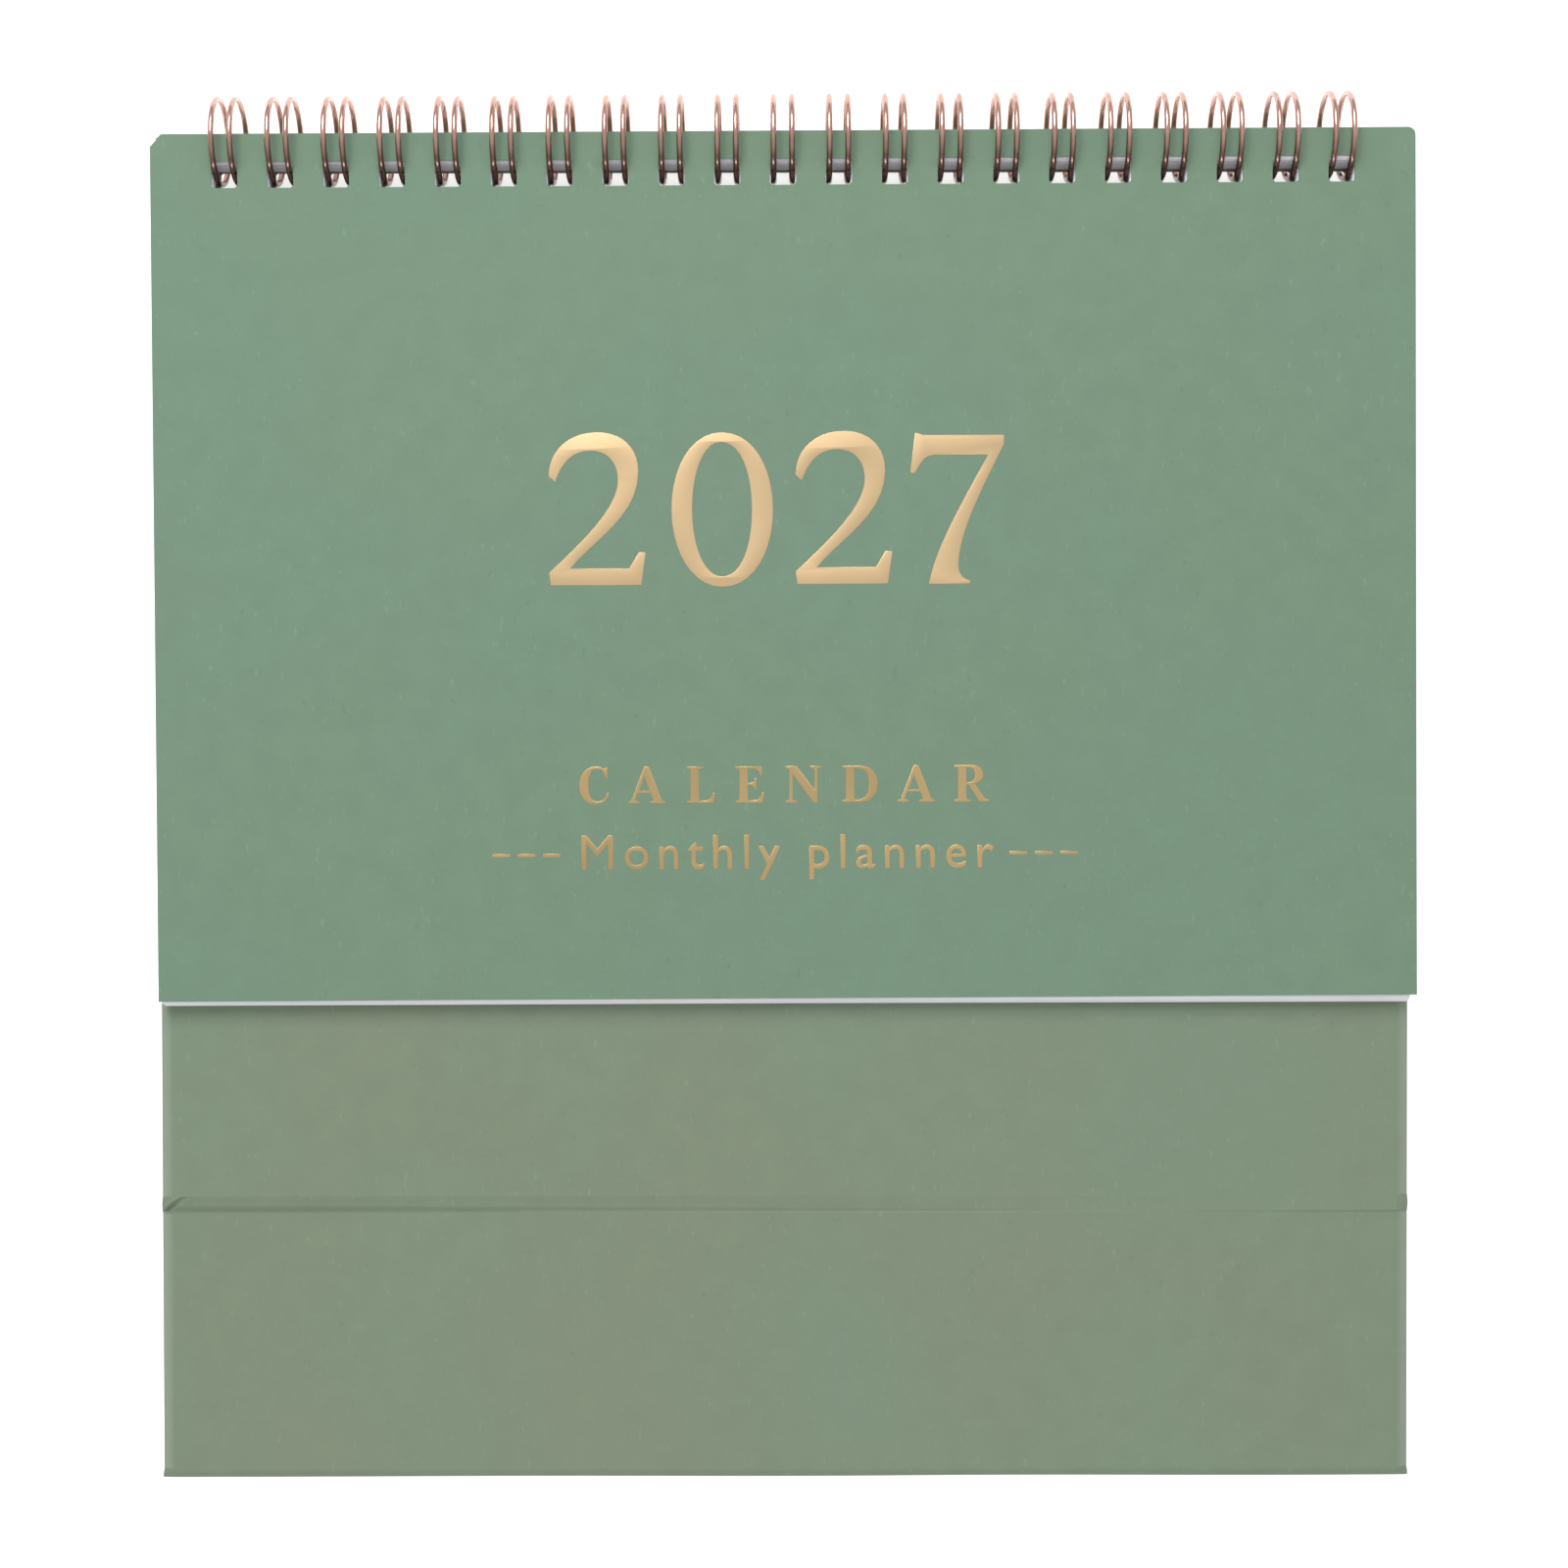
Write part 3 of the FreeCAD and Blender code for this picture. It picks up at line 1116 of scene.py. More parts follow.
@dataclass
class BaseFold:
    """The paper that runs round the fold end of the base, in millimetres.

    Args:
        front: the upper half of the base.
        back: the half under it.
        reach: how far the fold stands out past the boards.
        paper: how thick it is.
        bulge: how far it spreads past the boards' sides.
        rows: rows of points round it.
    """

    front: CaseBoard
    back: CaseBoard
    reach: float = 1.72
    paper: float = 0.3
    bulge: float = 0.28
    rows: int = 21

    def build(self, node: str) -> None:
        """Makes the fold between the two halves of the base.

        Args:
            node: the CAD node that it stands for.
        """
        board, edge, half, end = self.front, self.front.edge, self.front.half, self.front.foot
        middle = (board.outer + self.back.outer) / 2
        tall = (board.outer - self.back.outer) / 2
        stops = [s - half for s in [s for s, _ in edge.lines(0.0)] + [2.0, 3.0, 4.5]]
        xs = Grid.filled(-half, half, stops + [-s for s in stops], 4.0)
        outer, inner = [], []
        for k in range(self.rows):
            turn = math.pi * k / (self.rows - 1)
            rise, out = math.cos(turn), math.sin(turn)
            for x in xs:
                inward = half - abs(x)
                share = edge.share(1 - inward / edge.across)
                reach = self.reach + 0.09 * ripple(x * 1.7, 0, 1.1)
                side = x + math.copysign(self.bulge * out * eased(1 - inward / 4), x)
                high = tall - edge.outer_depth * share * (0.5 + 0.5 * abs(rise))
                wave = board.uneven(x, end) * rise
                outer.append((side, end - reach * out, middle + high * rise + wave))
                inner.append((side, end - (reach - self.paper) * out,
                              middle + (high - self.paper) * rise))
        piece = hinge_paper("base_fold_wrapped", len(xs), outer, inner, board.paper)
        bend_piece(piece, (board.name, self.back.name),
                   ((0.0, end, board.outer), (0.0, end, self.back.outer)), node)


@dataclass
class StandCase:
    """The four covered boards and the paper hinges between them.

    Args:
        paper: the covering's finish.
        lining: the lining's finish.
        pulp: the boards' finish.
    """

    # the covering pales at its edges: edge wear and a painted highlight
    paper: PrintedPaper = PrintedPaper("sage_covering_paper", (0.186, 0.239, 0.167),
                                       (1.03, 0.98, 0.97), (0.97, 1.02, 1.02), rubbed=0.2)
    lining: PrintedPaper = PrintedPaper("sage_lining_paper", (0.186, 0.239, 0.167),
                                        (1.02, 1.0, 0.99), (0.98, 1.0, 1.0))
    pulp: Board = Board()

    def build(self) -> None:
        """Makes every board, crease and fold, and dresses the linings."""
        paper, pulp, lining = (f.material() for f in (self.paper, self.pulp, self.lining))
        boards = {}
        for name, facing, bound in (("front", Facing.UP, True), ("back", Facing.DOWN, True),
                                    ("front_base", Facing.UP, False),
                                    ("back_base", Facing.DOWN, False)):
            boards[name] = CaseBoard(name, facing, bound, paper, pulp)
            boards[name].build()
            mesh = frame["nodes"][f"{name}_lining"].data
            mesh.materials.clear()
            mesh.materials.append(lining)
        Crease(boards["front"], boards["front_base"]).build_bending("front_crease_paper")
        back = Crease(boards["back"], boards["back_base"])
        back.build_halves(("back_crease_paper_upper", "back_crease_paper_lower"))
        BaseFold(boards["front_base"], boards["back_base"]).build("base_fold_paper")


# ---- the wire ------------------------------------------------------------------------


class Growth(Wiring):
    """A geometry node tree while it is being wired."""

    def __init__(self, name: str, made: str, **inputs: str) -> None:
        """Starts a tree.

        Args:
            name: the tree's name.
            made: its output's name.
            inputs: the kind of each input by name, with _ for a space.
        """
        super().__init__(bpy.data.node_groups.new(name, "GeometryNodeTree"))
        for key, kind in inputs.items():
            self.tree.interface.new_socket(key.replace("_", " "), in_out="INPUT",
                                           socket_type=f"NodeSocket{kind}")
        self.tree.interface.new_socket(made, in_out="OUTPUT", socket_type="NodeSocketGeometry")
        self.given = self.add("NodeGroupInput").outputs

    def done(self, shape: bpy.types.NodeSocket,
             finish: bpy.types.NodeSocket) -> bpy.types.NodeTree:
        """Makes the instances real and gives them their finish.

        Args:
            shape: the geometry.
            finish: its material.

        Returns:
            The tree.
        """
        real = self.add("GeometryNodeRealizeInstances", Geometry=shape)
        dress = self.add("GeometryNodeSetMaterial", Geometry=real.outputs[0], Material=finish)
        self.join(dress.outputs[0], self.add("NodeGroupOutput").inputs[0])
        return self.tree


def grown(name: str, points: list[tuple[float, float, float]], edges: list[tuple[int, int]],
          tree: bpy.types.NodeTree, **values: object) -> bpy.types.Mesh:
    """Runs a geometry node tree on a small mesh.

    Args:
        name: the name of the mesh that comes back.
        points: the small mesh's points.
        edges: its edges.
        tree: the tree.
        values: the tree's inputs by name, with _ for a space.

    Returns:
        What the tree makes, as a plain mesh.
    """
    seed = bpy.data.meshes.new(f"{name}_seed")
    seed.from_pydata(points, edges, [])
    holder = bpy.data.objects.new(f"{name}_seed", seed)
    bpy.context.scene.collection.objects.link(holder)
    modifier = holder.modifiers.new("grow", "NODES")
    modifier.node_group = tree
    sockets = {s.name: s.identifier for s in tree.interface.items_tree
               if s.item_type == "SOCKET" and s.in_out == "INPUT"}
    for key, value in values.items():
        modifier[sockets[key.replace("_", " ")]] = value
    holder.update_tag()
    graph = bpy.context.evaluated_depsgraph_get()
    made = bpy.data.meshes.new_from_object(holder.evaluated_get(graph))
    made.name = name
    holder.modifiers.remove(modifier)
    bpy.data.objects.remove(holder)
    return made


@dataclass
class TwinLoopWire:
    """One coated wire bent into a row of twin loops, in millimetres.

    Args:
        finish: the wire's finish.
        root_angle: where a loop's two wires leave the link to the next loop, in degrees.
        seam: how far the loop's tip stops short of its root.
        bend: the radius of the bend at the root.
        skew: how far the row lies out of square, in degrees.
        arc_steps: straight parts in each wire's arc.
        bend_steps: straight parts in the bend at the root.
        tip_steps: straight parts in half of the turn at the tip.
        sides: sides of the wire's section.
        weld: points closer than this are merged.
    """

    finish: CoatedWire = CoatedWire()
    root_angle: float = -54.2
    seam: float = 2.7
    bend: float = 0.9
    skew: float = 0.2
    arc_steps: int = 44
    bend_steps: int = 5
    tip_steps: int = 4
    sides: int = 12
    weld: float = 0.005

    def _on_ring(self, angle: float, along: float = 0.0) -> tuple[float, float]:
        """A point of the ring's plane.

        Args:
            angle: from -Y to +Z, in radians.
            along: how far it is moved along the ring's tangent.

        Returns:
            Its y and z.
        """
        radius = BINDING.ring_radius
        return (-radius * math.cos(angle) + along * math.sin(angle),
                radius * math.sin(angle) + along * math.cos(angle))

    def unit(self) -> list[tuple[float, float, float]]:
        """One twin loop's path from the middle of one link to the middle of the next.

        Returns:
            The path's points.
        """
        half = BINDING.twin_spacing / 2
        root = math.radians(self.root_angle)
        tip = root + 2 * math.pi - self.seam / BINDING.ring_radius
        path = [(-BINDING.pitch / 2, *self._on_ring(root, -self.bend))]
        for k in range(self.bend_steps + 1):
            turn = math.pi / 2 * (1 - k / self.bend_steps)
            x = -half - self.bend + self.bend * math.cos(turn)
            path.append((x, *self._on_ring(root, -self.bend * math.sin(turn))))
        for k in range(1, self.arc_steps + 1):
            path.append((-half, *self._on_ring(root + (tip - root) * k / self.arc_steps)))
        for k in range(1, self.tip_steps + 1):
            turn = math.pi / 2 * k / self.tip_steps
            path.append((-half * math.cos(turn), *self._on_ring(tip, half * math.sin(turn))))
        return path + [(-x, y, z) for x, y, z in reversed(path[:-1])]

    def tree(self) -> bpy.types.NodeTree:
        """Repeats the unit along the axis, joins the run and sweeps the wire along it.

        Returns:
            The tree.
        """
        grow = Growth("twin_loop_run", "Wire", Unit="Geometry", Loops="Int", Pitch="Float",
                      Radius="Float", Sides="Int", End="Float", Finish="Material")
        given = grow.given
        step = grow.add("ShaderNodeCombineXYZ", X=given["Pitch"])
        places = grow.add("GeometryNodeMeshLine", Count=given["Loops"], Offset=step.outputs[0])
        repeat = grow.add("GeometryNodeInstanceOnPoints", Points=places.outputs[0],
                          Instance=given["Unit"])
        joined = grow.add("GeometryNodeRealizeInstances", Geometry=repeat.outputs[0])
        merged = grow.add("GeometryNodeMergeByDistance", Geometry=joined.outputs[0],
                          Distance=self.weld)
        # the half links that would stick out at the two ends are trimmed
        place = grow.add("GeometryNodeInputPosition").outputs[0]
        across = grow.add("ShaderNodeSeparateXYZ", Vector=place).outputs["X"]
        low = grow.math("MULTIPLY", given["End"], -1.0)
        last = grow.math("MULTIPLY_ADD", given["Pitch"], -1.0, given["End"])
        high = grow.math("MULTIPLY_ADD", given["Loops"], given["Pitch"], last)
        ends = grow.math("ADD", grow.math("LESS_THAN", across, low),
                         grow.math("GREATER_THAN", across, high))
        trim = grow.add("GeometryNodeDeleteGeometry", Geometry=merged.outputs[0],
                        Selection=ends)
        trim.domain = "POINT"
        path = grow.add("GeometryNodeMeshToCurve", Mesh=trim.outputs[0])
        section = grow.add("GeometryNodeCurvePrimitiveCircle", Radius=given["Radius"],
                           Resolution=given["Sides"])
        sweep = grow.add("GeometryNodeCurveToMesh", Curve=path.outputs[0],
                         Profile_Curve=section.outputs[0], Fill_Caps=True)
        return grow.done(sweep.outputs[0], given["Finish"])

    def build(self) -> None:
        """Makes the wire, puts it on the back body and hides the CAD wire."""
        unit = self.unit()
        edges = [(i, i + 1) for i in range(len(unit) - 1)]
        end = BINDING.twin_spacing / 2 + self.bend / 2
        mesh = grown("ring_wire", unit, edges, self.tree(), Loops=BINDING.loops,
                     Pitch=BINDING.pitch, Radius=BINDING.wire / 2, Sides=self.sides,
                     End=end, Finish=self.finish.material())
        mesh.transform(Matrix.Rotation(math.radians(self.skew), 4, "Z")
                       @ Matrix.Translation((BINDING.loop_x[0], 0, 0)))
        mesh.transform(PLACE.matrix @ Matrix.Diagonal((MM, MM, MM, 1)))
        mesh.shade_smooth()
        mesh.set_sharp_from_angle(angle=math.radians(50))
        piece = bpy.data.objects.new("ring_wire", mesh)
        bpy.context.scene.collection.objects.link(piece)
        finish_piece(piece, "back", "binding_wire", "wire_binding")


# ---- the sheets ----------------------------------------------------------------------


@dataclass
class Leaf:
    """One punched sheet on the wire, in millimetres.

    Args:
        node: the CAD node, which is also its body.
        place: how many sheets lie under it.
        skew: how far it hangs out of square, in degrees.
        height: from the rings' axis to the middle of its thickness.
        thickness: how thick it is.
        finishes: the finishes of its front and its back.
        lift: how far its foot corners curl up.
        drift: how far it hangs to the side.
        corners: for its top left and its top right corner, the cut's size and its power, from
            1 for a straight cut to 2 for a round one.
        droop: how much more each sheet turns on the rings than the one under it, in degrees.
        tall: from its foot to its top.
        wave: how uneven it is at its foot.
        corner_steps: parts in each corner's cut.
    """

    node: str
    place: int
    skew: float
    height: float
    thickness: float
    finishes: list[bpy.types.Material]
    lift: float = 0.0
    drift: float = 0.0
    corners: tuple[tuple[float, float], tuple[float, float]] = ((1.2, 2.0), (1.2, 2.0))
    droop: float = 0.0174
    tall: float = 131.7
    wave: float = 0.045
    corner_steps: int = 6

    def __post_init__(self) -> None:
        """Reads the sheet's width from its CAD node."""
        low, high = PLACE.span(self.node)
        self.half = float(high[0] - low[0]) / 2
        self.hole_y = BINDING.hole_middle(self.height)
        self.top = self.hole_y + BINDING.hole_side / 2 + BINDING.margin
        self.foot = self.top - self.tall

    def at(self, x: float, y: float, above: float) -> Point:
        """A point of the sheet where it hangs in the stack.

        Args:
            x: across, from the sheet's middle.
            y: up, from the axis of the rings.
            above: height over the middle of the sheet's thickness.

        Returns:
            The point in the calendar's own frame.
        """
        down = min(1.0, max(0.0, (self.top - y) / self.tall))
        corner = eased((abs(x) / self.half - 0.55) / 0.45) * down**3
        z = self.height + above + self.wave * down * ripple(x, y, 0.9) + self.lift * corner
        turn, skew = math.radians(self.place * self.droop), math.radians(self.skew)
        y, z = y * math.cos(turn) - z * math.sin(turn), y * math.sin(turn) + z * math.cos(turn)
        x, y = x * math.cos(skew) - y * math.sin(skew), x * math.sin(skew) + y * math.cos(skew)
        return x + self.drift, y, z

    def _cut_corner(self, x: float, y: float) -> tuple[float, float]:
        """Moves a point of a top corner onto the corner's round or slanting cut.

        Args:
            x: across, from the sheet's middle.
            y: up, from the axis of the rings.

        Returns:
            Its new x and y.
        """
        size, power = self.corners[0 if x < 0 else 1]
        dx, dy = abs(x) - (self.half - size), y - (self.top - size)
        if dx <= 0 or dy <= 0:
            return x, y
        pull = max(dx, dy) / (dx**power + dy**power) ** (1 / power)
        if power < 2:
            pull *= 1 + 0.05 * math.sin(11 * dx / size) - 0.04 * math.sin(17 * dy / size)
        return math.copysign(self.half - size + dx * pull, x), self.top - size + dy * pull

    def build(self) -> None:
        """Makes the sheet, puts it on its body and hides its CAD node."""
        (left, _), (right, _) = self.corners
        steps = [k / self.corner_steps for k in range(self.corner_steps + 1)]
        stops_x = [left * s - self.half for s in steps] + [self.half - right * s for s in steps]
        stops_y = [self.top - max(left, right) * s for s in steps]
        xs = Grid.filled(-self.half, self.half, stops_x + Grid.hole_stops(BINDING.loop_x), 5.0)
        ys = Grid.filled(self.foot, self.top, stops_y + Grid.hole_stops([self.hole_y]), 6.5)
        flat = [self._cut_corner(x, y) for y in ys for x in xs]
        front = Grid(xs, ys, self.hole_y).faces()
        points, faces = self._layer(flat, front, self.thickness / 2, -self.thickness / 2)
        finish_of = [0] * len(front) + [1] * len(front) + [0] * (len(faces) - 2 * len(front))
        piece = new_piece(f"{self.node}_leaf", points, faces, self.finishes, finish_of)
        slot = "cover_card" if self.node == "cover_sheet" else "month_paper"
        finish_piece(piece, self.node, slot, self.node)

    def _layer(self, flat: list[tuple[float, float]], faces: list[Face], top: float,
               bottom: float) -> Shell:
        """A closed layer between two heights over the middle of the sheet's thickness."""
        upper, lower = (np.array([self.at(x, y, z) for x, y in flat]) for z in (top, bottom))
        return thicken(upper, lower, faces)

    def lay(self, name: str, shapes: list[Shell], rise: float, finish: bpy.types.Material,
            slot: str, sunk: float = 0.01) -> None:
        """Lays flat shapes on the sheet's face as one thin closed piece.

        Args:
            name: the piece's name.
            shapes: flat shapes, their points in the sheet's own x and y.
            rise: how far they stand over the sheet.
            finish: their material.
            slot: the record's slot; not used.
            sunk: how far they reach down into the sheet.
        """
        flat, faces = [], []
        for points, shape in shapes:
            faces += [tuple(i + len(flat) for i in f) for f in shape]
            flat += points.tolist()
        half = self.thickness / 2
        shell = self._layer(flat, faces, half + rise, half - sunk)
        finish_piece(new_piece(name, *shell, [finish]), self.node, slot)


# ---- lettering -----------------------------------------------------------------------

WEEKDAYS = "SMTWTFS"

# Outlines in units of the letters' height: M and L go to a point, C is a curve with two
# handles, Z closes.
ROMAN = {
    "2": "M 0 .085 L .01 0 L .605 0 L .635 .215 L .59 .215 L .527 .11 L .138 .11 "
         "C .3 .3 .59 .45 .59 .745 C .59 .91 .475 1 .32 1 C .14 1 .005 .89 0 .715 L .045 .677 "
         "C .09 .81 .165 .88 .277 .88 C .39 .88 .455 .8 .455 .685 C .455 .52 .25 .31 0 .085 Z",
    "0": "M .333 -.015 C .54 -.015 .667 .22 .667 .49 C .667 .77 .54 .995 .333 .995 "
         "C .13 .995 0 .77 0 .49 C 0 .22 .13 -.015 .333 -.015 Z "
         "M .33 .052 C .22 .052 .137 .24 .137 .49 C .137 .75 .22 .932 .325 .932 "
         "C .45 .932 .527 .75 .527 .49 C .527 .24 .45 .052 .33 .052 Z",
    "7": "M .035 .985 L .085 .97 L .617 .97 L .617 .91 C .48 .63 .315 .33 .315 .12 "
         "C .315 .06 .346 .027 .394 .017 L .388 -.004 L .119 -.004 C .16 .2 .27 .41 .512 .84 "
         "L .17 .84 C .1 .84 .075 .8 .033 .72 L 0 .725 Z",
    "C": "M .8 .3 C .76 .13 .67 .06 .54 .06 C .38 .06 .3 .22 .3 .5 C .3 .78 .37 .95 .53 .95 "
         "C .65 .95 .73 .86 .76 .69 L .82 .69 L .82 .99 L .77 .99 C .75 .95 .73 .96 .7 .97 "
         "C .64 1 .59 1.02 .51 1.02 C .22 1.02 .04 .8 .04 .49 C .04 .18 .22 -.02 .5 -.02 "
         "C .7 -.02 .84 .09 .87 .3 Z",
    "A": "M 0 0 L 0 .055 L .09 .08 L .45 1.01 L .58 1.01 L .93 .09 L 1.04 .055 L 1.04 0 L .6 0 "
         "L .6 .055 L .7 .085 L .63 .28 L .27 .28 L .2 .085 L .32 .055 L .32 0 Z "
         "M .3 .35 L .6 .35 L .45 .74 Z",
    "L": "M .03 0 L .03 .055 L .14 .085 L .14 .915 L .03 .945 L .03 1 L .5 1 L .5 .945 "
         "L .37 .915 L .37 .07 L .52 .07 C .66 .07 .72 .15 .75 .29 L .81 .29 L .78 0 Z",
    "E": "M .03 0 L .03 .055 L .14 .085 L .14 .915 L .03 .945 L .03 1 L .76 1 L .77 .74 "
         "L .71 .74 C .68 .88 .62 .93 .52 .93 L .37 .93 L .37 .55 L .45 .55 "
         "C .52 .55 .55 .6 .56 .68 L .61 .68 L .61 .35 L .56 .35 C .55 .43 .52 .48 .45 .48 "
         "L .37 .48 L .37 .07 L .54 .07 C .67 .07 .72 .15 .76 .29 L .82 .29 L .79 0 Z",
    "N": "M .02 0 L .02 .055 L .13 .085 L .13 .915 L .02 .945 L .02 1 L .34 1 L .82 .34 "
         "L .82 .915 L .69 .945 L .69 1 L 1.02 1 L 1.02 .945 L .91 .915 L .91 -.01 L .8 -.01 "
         "L .22 .79 L .22 .085 L .35 .055 L .35 0 Z",
    "D": "M .03 0 L .03 .055 L .14 .085 L .14 .915 L .03 .945 L .03 1 L .48 1 "
         "C .83 1 1.02 .82 1.02 .51 C 1.02 .18 .82 0 .46 0 Z "
         "M .37 .07 L .46 .07 C .67 .07 .76 .24 .76 .5 C .76 .77 .67 .93 .46 .93 L .37 .93 Z",
    "R": "M .03 0 L .03 .055 L .14 .085 L .14 .915 L .03 .945 L .03 1 L .5 1 "
         "C .72 1 .84 .9 .84 .74 C .84 .62 .76 .53 .61 .49 L .85 .13 C .88 .09 .92 .06 .99 .05 "
         "L .99 0 L .72 0 L .44 .46 L .37 .46 L .37 .085 L .5 .055 L .5 0 Z "
         "M .37 .53 L .44 .53 C .55 .53 .6 .61 .6 .73 C .6 .86 .55 .93 .44 .93 L .37 .93 Z",
}


def contours(outline: str, steps: int = 10) -> list[list[tuple[float, float]]]:
    """Follows an outline.

    Args:
        outline: the outline, as ROMAN has it.
        steps: straight parts in each curve.

    Returns:
        The closed runs of points that it describes.
    """
    marks = outline.split()
    found, run, k = [], [], 0
    while k < len(marks):
        kind = marks[k]
        count = {"M": 2, "L": 2, "C": 6, "Z": 0}[kind]
        values = [float(v) for v in marks[k + 1:k + 1 + count]]
        k += 1 + count
        if kind == "Z":
            found.append(run)
            run = []
        elif kind == "C":
            a, b, c, d = (np.array(p) for p in (run[-1], values[:2], values[2:4], values[4:]))
            for n in range(1, steps + 1):
                t = n / steps
                at = (1 - t)**3 * a + 3 * t * (1 - t)**2 * b + 3 * t**2 * (1 - t) * c + t**3 * d
                run.append((float(at[0]), float(at[1])))
        else:
            run.append((values[0], values[1]))
    return [r[:-1] if np.allclose(r[0], r[-1]) else r for r in found]


def plain_mesh(curve: bpy.types.Curve, weld: float = 0.0005) -> bpy.types.Mesh:
    """Makes a text or a curve a mesh.

    Args:
        curve: the text or curve.
        weld: points closer than this are merged.

    Returns:
        The mesh.
    """
    holder = bpy.data.objects.new("lettering", curve)
    bpy.context.scene.collection.objects.link(holder)
    graph = bpy.context.evaluated_depsgraph_get()
    mesh = bpy.data.meshes.new_from_object(holder.evaluated_get(graph))
    bpy.data.objects.remove(holder)
    work = bmesh.new()
    work.from_mesh(mesh)
    bmesh.ops.remove_doubles(work, verts=work.verts, dist=weld)
    work.to_mesh(mesh)
    work.free()
    return mesh


def flat_curve(name: str, runs: list[list[tuple[float, float]]]) -> bpy.types.Curve:
    """A flat filled curve.

    Args:
        name: the curve's name.
        runs: the points of each closed run, in millimetres.

    Returns:
        The curve.
    """
    curve = bpy.data.curves.new(name, "CURVE")
    curve.dimensions = "2D"
    curve.fill_mode = "BOTH"
    for run in runs:
        spline = curve.splines.new("POLY")
        spline.points.add(len(run) - 1)
        spline.use_cyclic_u = True
        for point, (x, y) in zip(spline.points, run):
            point.co = (x, y, 0, 1)
    return curve


def roman(text: str, size: float, starts: Sequence[float]) -> bpy.types.Curve:
    """Roman letters or numerals as one flat curve.

    Args:
        text: the letters, each of them in ROMAN.
        size: their height, in millimetres.
        starts: where each letter starts, in units of the height.

    Returns:
        The curve.
    """
    return flat_curve(text, [[((x + start) * size, y * size) for x, y in run]
                             for letter, start in zip(text, starts)
                             for run in contours(ROMAN[letter])])


def plain_text(text: str, size: float, spacing: float = 1.0) -> bpy.types.Curve:
    """Text in the built-in font, starting at x = 0.

    Args:
        text: the text.
        size: the font's size, in millimetres.
        spacing: the share of the font's own distance from letter to letter.

    Returns:
        The flat text.
    """
    curve = bpy.data.curves.new(text, "FONT")
    curve.body = text
    curve.size = size
    curve.space_character = spacing
    curve.resolution_u = 4
    curve.fill_mode = "BOTH"
    return curve


def flat_shape(mesh: bpy.types.Mesh, x: float, y: float) -> Shell:
    """Moves a flat mesh and turns its faces to look up.

    Args:
        mesh: the flat mesh.
        x: how far across it moves.
        y: how far up it moves.

    Returns:
        Its points, two numbers for each, and its faces.
    """
    points = np.array([(v.co.x + x, v.co.y + y) for v in mesh.vertices])
    return points, [tuple(p.vertices) if p.normal.z > 0 else tuple(p.vertices)[::-1]
                    for p in mesh.polygons]


